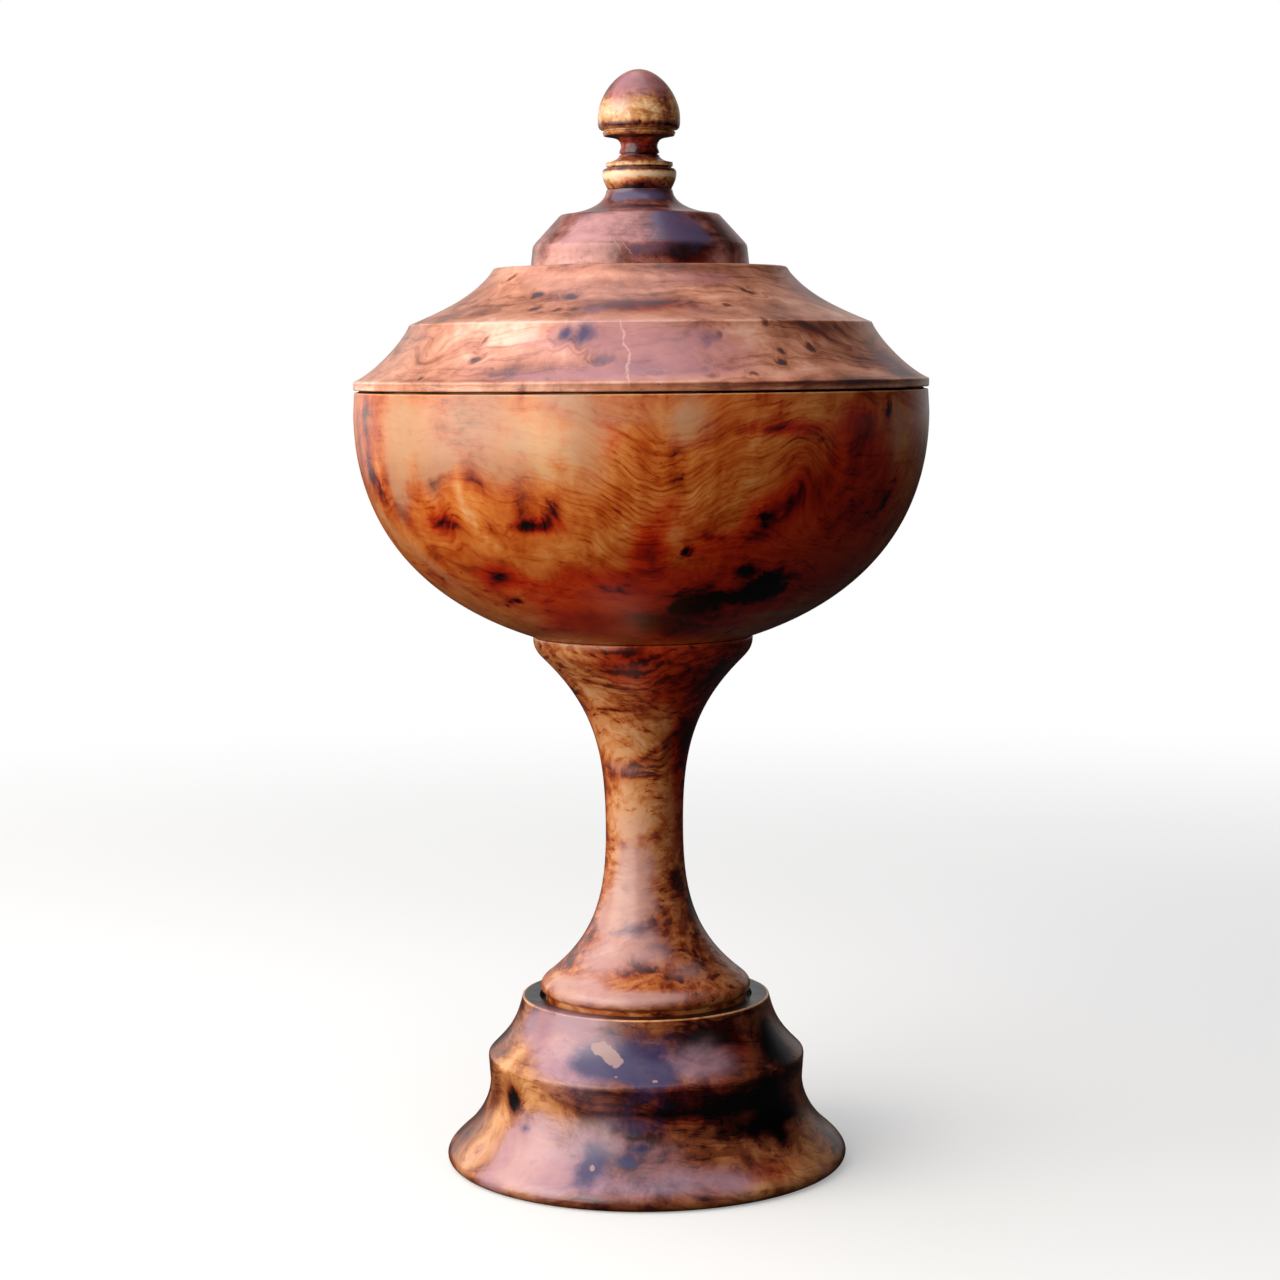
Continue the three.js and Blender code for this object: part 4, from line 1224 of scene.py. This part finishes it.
class PIECE_OT_stem(Operator):
    """Turns and polishes the waisted stem"""

    bl_idname = "burr_bowl.stem"
    bl_label = "Stem"

    def execute(self, context):
        """Makes the stem."""
        s = context.scene.burr_bowl.stem
        plinth = context.scene.burr_bowl.plinth
        low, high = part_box("stem")
        base = low.z + s.lower_tenon
        top = high.z - s.upper_tenon - base
        recess_radius = plinth.land_radius - plinth.land_width
        fillet = recess_radius - s.fillet_setback
        nose = recess_radius - s.nose_setback
        cut = Outline(base, 0, -s.lower_tenon)
        cut.line(
            (s.tenon_radius, -s.lower_tenon), (s.tenon_radius, 0), (fillet, 0),
            (fillet, s.fillet_height),
        )
        cut.bare = 0.0
        cut.bend(nose, s.nose_height, OUT, UP)
        cut.bend(nose - s.dome_width, s.nose_height + s.dome_rise, UP, s.dome_slope)
        cut.bend(s.waist_radius, s.waist_height, s.dome_slope, UP)
        cut.bend(s.head_radius - s.roll_width, top - s.roll_drop, UP, s.roll_slope)
        cut.bend(s.head_radius, top - SMALL_ROUND, s.roll_slope, UP)
        cut.arris(s.head_radius - SMALL_ROUND, top, UP, IN)
        cut.bare = 1.0
        cut.line(
            (s.tenon_radius, top), (s.tenon_radius, top + s.upper_tenon), (0, top + s.upper_tenon),
        )
        make("stem", cut, s, STEM_PATCHES, STEM_MARKS, STAND)
        return {"FINISHED"}


class PIECE_OT_bowl(Operator):
    """Turns and polishes the bowl"""

    bl_idname = "burr_bowl.bowl"
    bl_label = "Bowl"

    def execute(self, context):
        """Makes the bowl."""
        s = context.scene.burr_bowl.bowl
        stem = context.scene.burr_bowl.stem
        low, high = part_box("bowl")
        height = high.z - low.z
        rim = high.x - s.belly_swell
        bore = rim - s.rim_wall
        socket = stem.tenon_radius + TENON_SLACK
        socket_roof = stem.upper_tenon + TENON_END_ROOM
        cut = Outline(low.z, 0, socket_roof)
        cut.line((socket, socket_roof), (socket, 0), (stem.head_radius, 0))
        cut.bare = 0.0
        cut.bend(high.x, height - s.belly_drop, s.belly_slope, UP)
        cut.line((rim, height - SEAM - SMALL_ROUND))
        cut.arris(rim - SMALL_ROUND, height - SEAM, UP, IN)
        # Painted shade in the seam under the lid.
        cut.grimy = 1.0
        cut.line((rim - 2 * SMALL_ROUND, height - SEAM), (rim - 3 * SMALL_ROUND, height))
        cut.grimy = 0.0
        cut.line((rim - 4 * SMALL_ROUND, height))
        cut.corner(bore, height, DOWN)
        cut.line((bore, height - s.mouth_depth))
        cut.bare = 1.0
        cut.bend(0, s.floor, DOWN, IN, SQUARELY)
        make("bowl", cut, s, BOWL_PATCHES, BOWL_MARKS, STAND)
        return {"FINISHED"}


class PIECE_OT_lid(Operator):
    """Turns and polishes the stepped lid"""

    bl_idname = "burr_bowl.lid"
    bl_label = "Lid"

    def execute(self, context):
        """Makes the lid."""
        s = context.scene.burr_bowl.lid
        bowl = context.scene.burr_bowl.bowl
        cap = context.scene.burr_bowl.lid_cap
        low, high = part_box("lid")
        base = low.z + s.flange_depth
        top = high.z - base
        edge = high.x
        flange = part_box("bowl")[1].x - bowl.belly_swell - bowl.rim_wall - s.slack
        bore = flange - s.flange_wall
        step = edge - s.lower_tier
        socket = cap.spigot_radius + TENON_SLACK
        socket_floor = top - cap.spigot - TENON_END_ROOM
        cut = Outline(base, 0, top - s.crown)
        cut.line((s.crown_flat, top - s.crown))
        cut.bend(bore, 0, OUT, DOWN)
        cut.line((bore, -s.flange_depth), (flange - SMALL_ROUND, -s.flange_depth))
        cut.bend(flange, -s.flange_depth + SMALL_ROUND, OUT, UP)
        cut.line((flange, 0))
        cut.bare = 0.0
        cut.line((edge - 3 * SMALL_ROUND, 0))
        # Painted shade in the seam where the lid sits on the rim.
        cut.grimy = 1.0
        cut.line((edge - 2 * SMALL_ROUND, 0))
        cut.grimy = 0.0
        cut.line((edge - SMALL_ROUND, 0))
        cut.arris(edge, SMALL_ROUND, OUT, UP)
        cut.corner(edge, s.edge, s.toe_slope)
        cut.bend(step, s.step_height - SMALL_ROUND, s.toe_slope, s.lower_top, BRIEFLY)
        cut.arris(step - SMALL_ROUND, s.step_height, s.lower_top, s.toe_slope)
        cut.bend(s.flat_radius, top - s.flat_round, s.toe_slope, s.upper_top, EVENLY)
        cut.bend(s.flat_radius - s.flat_round, top, s.upper_top, IN)
        cut.bare = 1.0
        cut.line((socket, top), (socket, socket_floor), (0, socket_floor))
        make("lid", cut, s, LID_PATCHES, LID_MARKS, LID)
        return {"FINISHED"}


class PIECE_OT_lid_cap(Operator):
    """Turns and polishes the cap on the lid"""

    bl_idname = "burr_bowl.lid_cap"
    bl_label = "Lid cap"

    def execute(self, context):
        """Makes the lid cap."""
        s = context.scene.burr_bowl.lid_cap
        finial = context.scene.burr_bowl.finial
        low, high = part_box("lid_cap")
        base = low.z + s.spigot
        top = high.z - base
        shoulder = Vector((high.x - s.draft, s.shoulder_height))
        edge = Vector((s.top_radius, s.top_height))
        lean = math.atan2(edge.y - shoulder.y, edge.x - shoulder.x)
        socket = finial.tenon_radius + TENON_SLACK
        socket_floor = top - finial.tenon - TENON_END_ROOM
        cut = Outline(base, 0, -s.spigot)
        cut.line((s.spigot_radius, -s.spigot), (s.spigot_radius, 0), (high.x - SMALL_ROUND / 2, 0))
        cut.bare = 0.0
        cut.arris(high.x, SMALL_ROUND / 2, OUT, UP)
        cut.corner(shoulder.x, shoulder.y, lean, s.edge_round, wear=0.2)
        cut.corner(edge.x, edge.y, s.top_slope, s.edge_round, wear=0.2)
        cut.bend(s.neck_radius, top, s.top_slope, s.neck_slope, EVENLY)
        cut.bare = 1.0
        cut.line((socket, top), (socket, socket_floor), (0, socket_floor))
        make("lid_cap", cut, s, CAP_PATCHES, CAP_MARKS, LID)
        return {"FINISHED"}


class PIECE_OT_finial(Operator):
    """Turns and polishes the acorn finial"""

    bl_idname = "burr_bowl.finial"
    bl_label = "Finial"

    def execute(self, context):
        """Makes the finial."""
        s = context.scene.burr_bowl.finial
        low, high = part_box("finial")
        base = low.z + s.tenon
        top = high.z - base
        cut = Outline(base, 0, -s.tenon)
        cut.line((s.tenon_radius, -s.tenon), (s.tenon_radius, 0), (s.base_radius, 0))
        cut.bare = 0.0
        cut.bend(s.collar_radius, s.collar_height, s.collar_flare, UP)
        cut.bend(s.ledge_radius, s.collar_height + s.collar_roll, UP, IN)
        cut.groove(s.groove_width, s.groove_depth)
        cut.line((s.ledge_radius, cut.points[-1].y + s.ledge_height))
        cut.bend(s.ring_radius, s.ring_height, IN, UP, BRIEFLY)
        cut.groove(s.groove_width, s.groove_depth)
        cut.line((s.ring_radius, cut.points[-1].y + s.ring_width), (s.neck_radius, s.neck_height))
        cut.bend(s.lip_radius, s.lip_height, UP, s.lip_slope, SQUARELY)
        cut.line((s.fillet_radius, s.lip_height + s.fillet_height))
        cut.groove(s.groove_width, s.groove_depth)
        cut.bend(high.x, s.knob_height, OUT, UP)
        cut.bend(0, top, UP, IN, EVENLY)
        make("finial", cut, s, FINIAL_PATCHES, FINIAL_MARKS, LID)
        return {"FINISHED"}


# The floor keeps its own colour near the bowl, and is white past the end of its fade.
FLOOR_RADIUS = 12.0
FLOOR_SIDES = 96
FLOOR_FADE_START = 0.35
FLOOR_FADE_END = 1.3

# The polish starts to see the backdrop past the sides, and sees it white straight behind the bowl.
BACKDROP_START = 0.6
BACKDROP_FULL = 1.0

# Where the lamps stand, how wide and how high they are, and what they aim at.
LAMPS = {
    "overhead": ((-0.45, -0.15, 1.25), 1.7, 1.7),
    "window": ((-0.8, -0.5, 0.46), 1.3, 0.95),
    "rim": ((-1.1, 0.9, 0.55), 1.2, 1.1),
}
LAMP_AIM = Vector((0, 0, 0.24))


def floor_paint(settings):
    """A pale floor with the bowl's shadow, which fades to white and throws little light back."""
    recipe = Recipe("studio_floor")
    path = recipe.node("LightPath", {})
    seen = recipe.sum("MAXIMUM", path.outputs["Is Camera Ray"], path.outputs["Is Transmission Ray"])
    bounce = settings.floor_bounce
    tone = recipe.blend(seen, (bounce, bounce, bounce, 1), (*settings.floor_colour, 1))
    near = recipe.node("BsdfDiffuse", {"Color": tone}).outputs[0]
    white = recipe.node("Emission", {"Color": (1, 1, 1, 1), "Strength": 1.0}).outputs[0]
    place = recipe.node("TexCoord", {}).outputs["Object"]
    away = recipe.reach(place)
    far = recipe.between(away, FLOOR_FADE_START, FLOOR_FADE_END, settings.floor_glow, 1.0)
    far = recipe.sum("MULTIPLY", far, seen)
    mirrored = recipe.between(away, FLOOR_FADE_END, FLOOR_RADIUS, 0.0, settings.polish_level)
    mirrored = recipe.sum("MULTIPLY", mirrored, path.outputs["Is Glossy Ray"])
    far = recipe.sum("ADD", far, mirrored)
    mixed = recipe.node("MixShader", {0: far, 1: near, 2: white})
    recipe.node("OutputMaterial", {"Surface": mixed.outputs[0]})
    return recipe.material


def lamp(name, place, width, height, power, tint):
    """A soft rectangular lamp that lights the bowl."""
    light = bpy.data.lights.new(name, "AREA")
    light.shape = "RECTANGLE"
    light.size = width
    light.size_y = height
    light.energy = power
    light.color = tint
    holder = bpy.data.objects.new(name, light)
    holder.location = place
    holder.rotation_euler = (LAMP_AIM - Vector(place)).to_track_quat("-Z", "Y").to_euler()
    bpy.context.scene.collection.objects.link(holder)


def room(settings):
    """A white backdrop behind the bowl, a dark room behind the camera, and dim light all round.

    The camera, glass and, towards the backdrop, the polish see white.
    """
    world = bpy.data.worlds.new("studio")
    world.use_nodes = True
    nodes, links = world.node_tree.nodes, world.node_tree.links
    direction = nodes.new("ShaderNodeSeparateXYZ")
    links.new(nodes.new("ShaderNodeTexCoord").outputs["Generated"], direction.inputs[0])
    backdrop = nodes.new("ShaderNodeMapRange")
    backdrop.interpolation_type = "SMOOTHSTEP"
    backdrop.inputs["From Min"].default_value = BACKDROP_START
    backdrop.inputs["From Max"].default_value = BACKDROP_FULL
    backdrop.inputs["To Max"].default_value = settings.polish_level
    links.new(direction.outputs["Y"], backdrop.inputs["Value"])
    level = backdrop.outputs["Result"]
    path = nodes.new("ShaderNodeLightPath")
    levels = (
        ("Is Diffuse Ray", settings.room_level),
        ("Is Transmission Ray", 1.0),
        ("Is Camera Ray", 1.0),
    )
    for ray, seen in levels:
        mix = nodes.new("ShaderNodeMix")
        mix.data_type = "FLOAT"
        links.new(path.outputs[ray], mix.inputs[0])
        links.new(level, mix.inputs[2])
        mix.inputs[3].default_value = seen
        level = mix.outputs[0]
    nodes["Background"].inputs["Color"].default_value = (1, 1, 1, 1)
    links.new(level, nodes["Background"].inputs["Strength"])
    return world


class STAGE_OT_studio(Operator):
    """Sets the floor, the lamps, the surroundings and the camera"""

    bl_idname = "burr_bowl.studio"
    bl_label = "Studio"

    def execute(self, context):
        """Makes the stage."""
        s = context.scene.burr_bowl.stage
        form = bmesh.new()
        bmesh.ops.create_circle(form, cap_ends=True, segments=FLOOR_SIDES, radius=FLOOR_RADIUS)
        mesh = bpy.data.meshes.new("studio_floor")
        form.to_mesh(mesh)
        form.free()
        floor = bpy.data.objects.new("studio_floor", mesh)
        context.scene.collection.objects.link(floor)
        mesh.materials.append(floor_paint(s))

        for name, (place, width, height) in LAMPS.items():
            power, tint = getattr(s, f"{name}_power"), getattr(s, f"{name}_colour")
            lamp(name, place, width, height, power, tint)
        context.scene.world = room(s)

        eye = bpy.data.cameras.new("photograph")
        eye.lens = LENS_MM
        eye.sensor_width = SENSOR_MM
        camera = bpy.data.objects.new("photograph", eye)
        camera.matrix_world = camera_matrix()
        context.scene.collection.objects.link(camera)
        context.scene.camera = camera
        context.scene.view_settings.view_transform = "Standard"
        return {"FINISHED"}


class VIEW3D_PT_burr_bowl(Panel):
    """Lists the pieces of the bowl"""

    bl_label = "Burr pedestal bowl"
    bl_idname = "VIEW3D_PT_burr_bowl"
    bl_space_type = "VIEW_3D"
    bl_region_type = "UI"
    bl_category = "Pedestal bowl"

    def draw(self, context):
        """Shows a button for each piece."""
        for operator in OPERATORS:
            self.layout.operator(operator.bl_idname)


OPERATORS = (
    PIECE_OT_plinth,
    PIECE_OT_stem,
    PIECE_OT_bowl,
    PIECE_OT_lid,
    PIECE_OT_lid_cap,
    PIECE_OT_finial,
    STAGE_OT_studio,
)
CLASSES = (
    PlinthSettings,
    StemSettings,
    BowlSettings,
    LidSettings,
    LidCapSettings,
    FinialSettings,
    StageSettings,
    BurrBowlSettings,
    *OPERATORS,
    VIEW3D_PT_burr_bowl,
)


def register():
    """Registers the classes and the scene's settings."""
    for cls in CLASSES:
        bpy.utils.register_class(cls)
    bpy.types.Scene.burr_bowl = PointerProperty(type=BurrBowlSettings)


def unregister():
    """Takes the settings and the classes away again."""
    del bpy.types.Scene.burr_bowl
    for cls in reversed(CLASSES):
        bpy.utils.unregister_class(cls)


def main():
    """Makes every piece and the stage."""
    register()
    bpy.ops.burr_bowl.plinth()
    bpy.ops.burr_bowl.stem()
    bpy.ops.burr_bowl.bowl()
    bpy.ops.burr_bowl.lid()
    bpy.ops.burr_bowl.lid_cap()
    bpy.ops.burr_bowl.finial()
    bpy.ops.burr_bowl.studio()


if __name__ == "__main__":
    main()
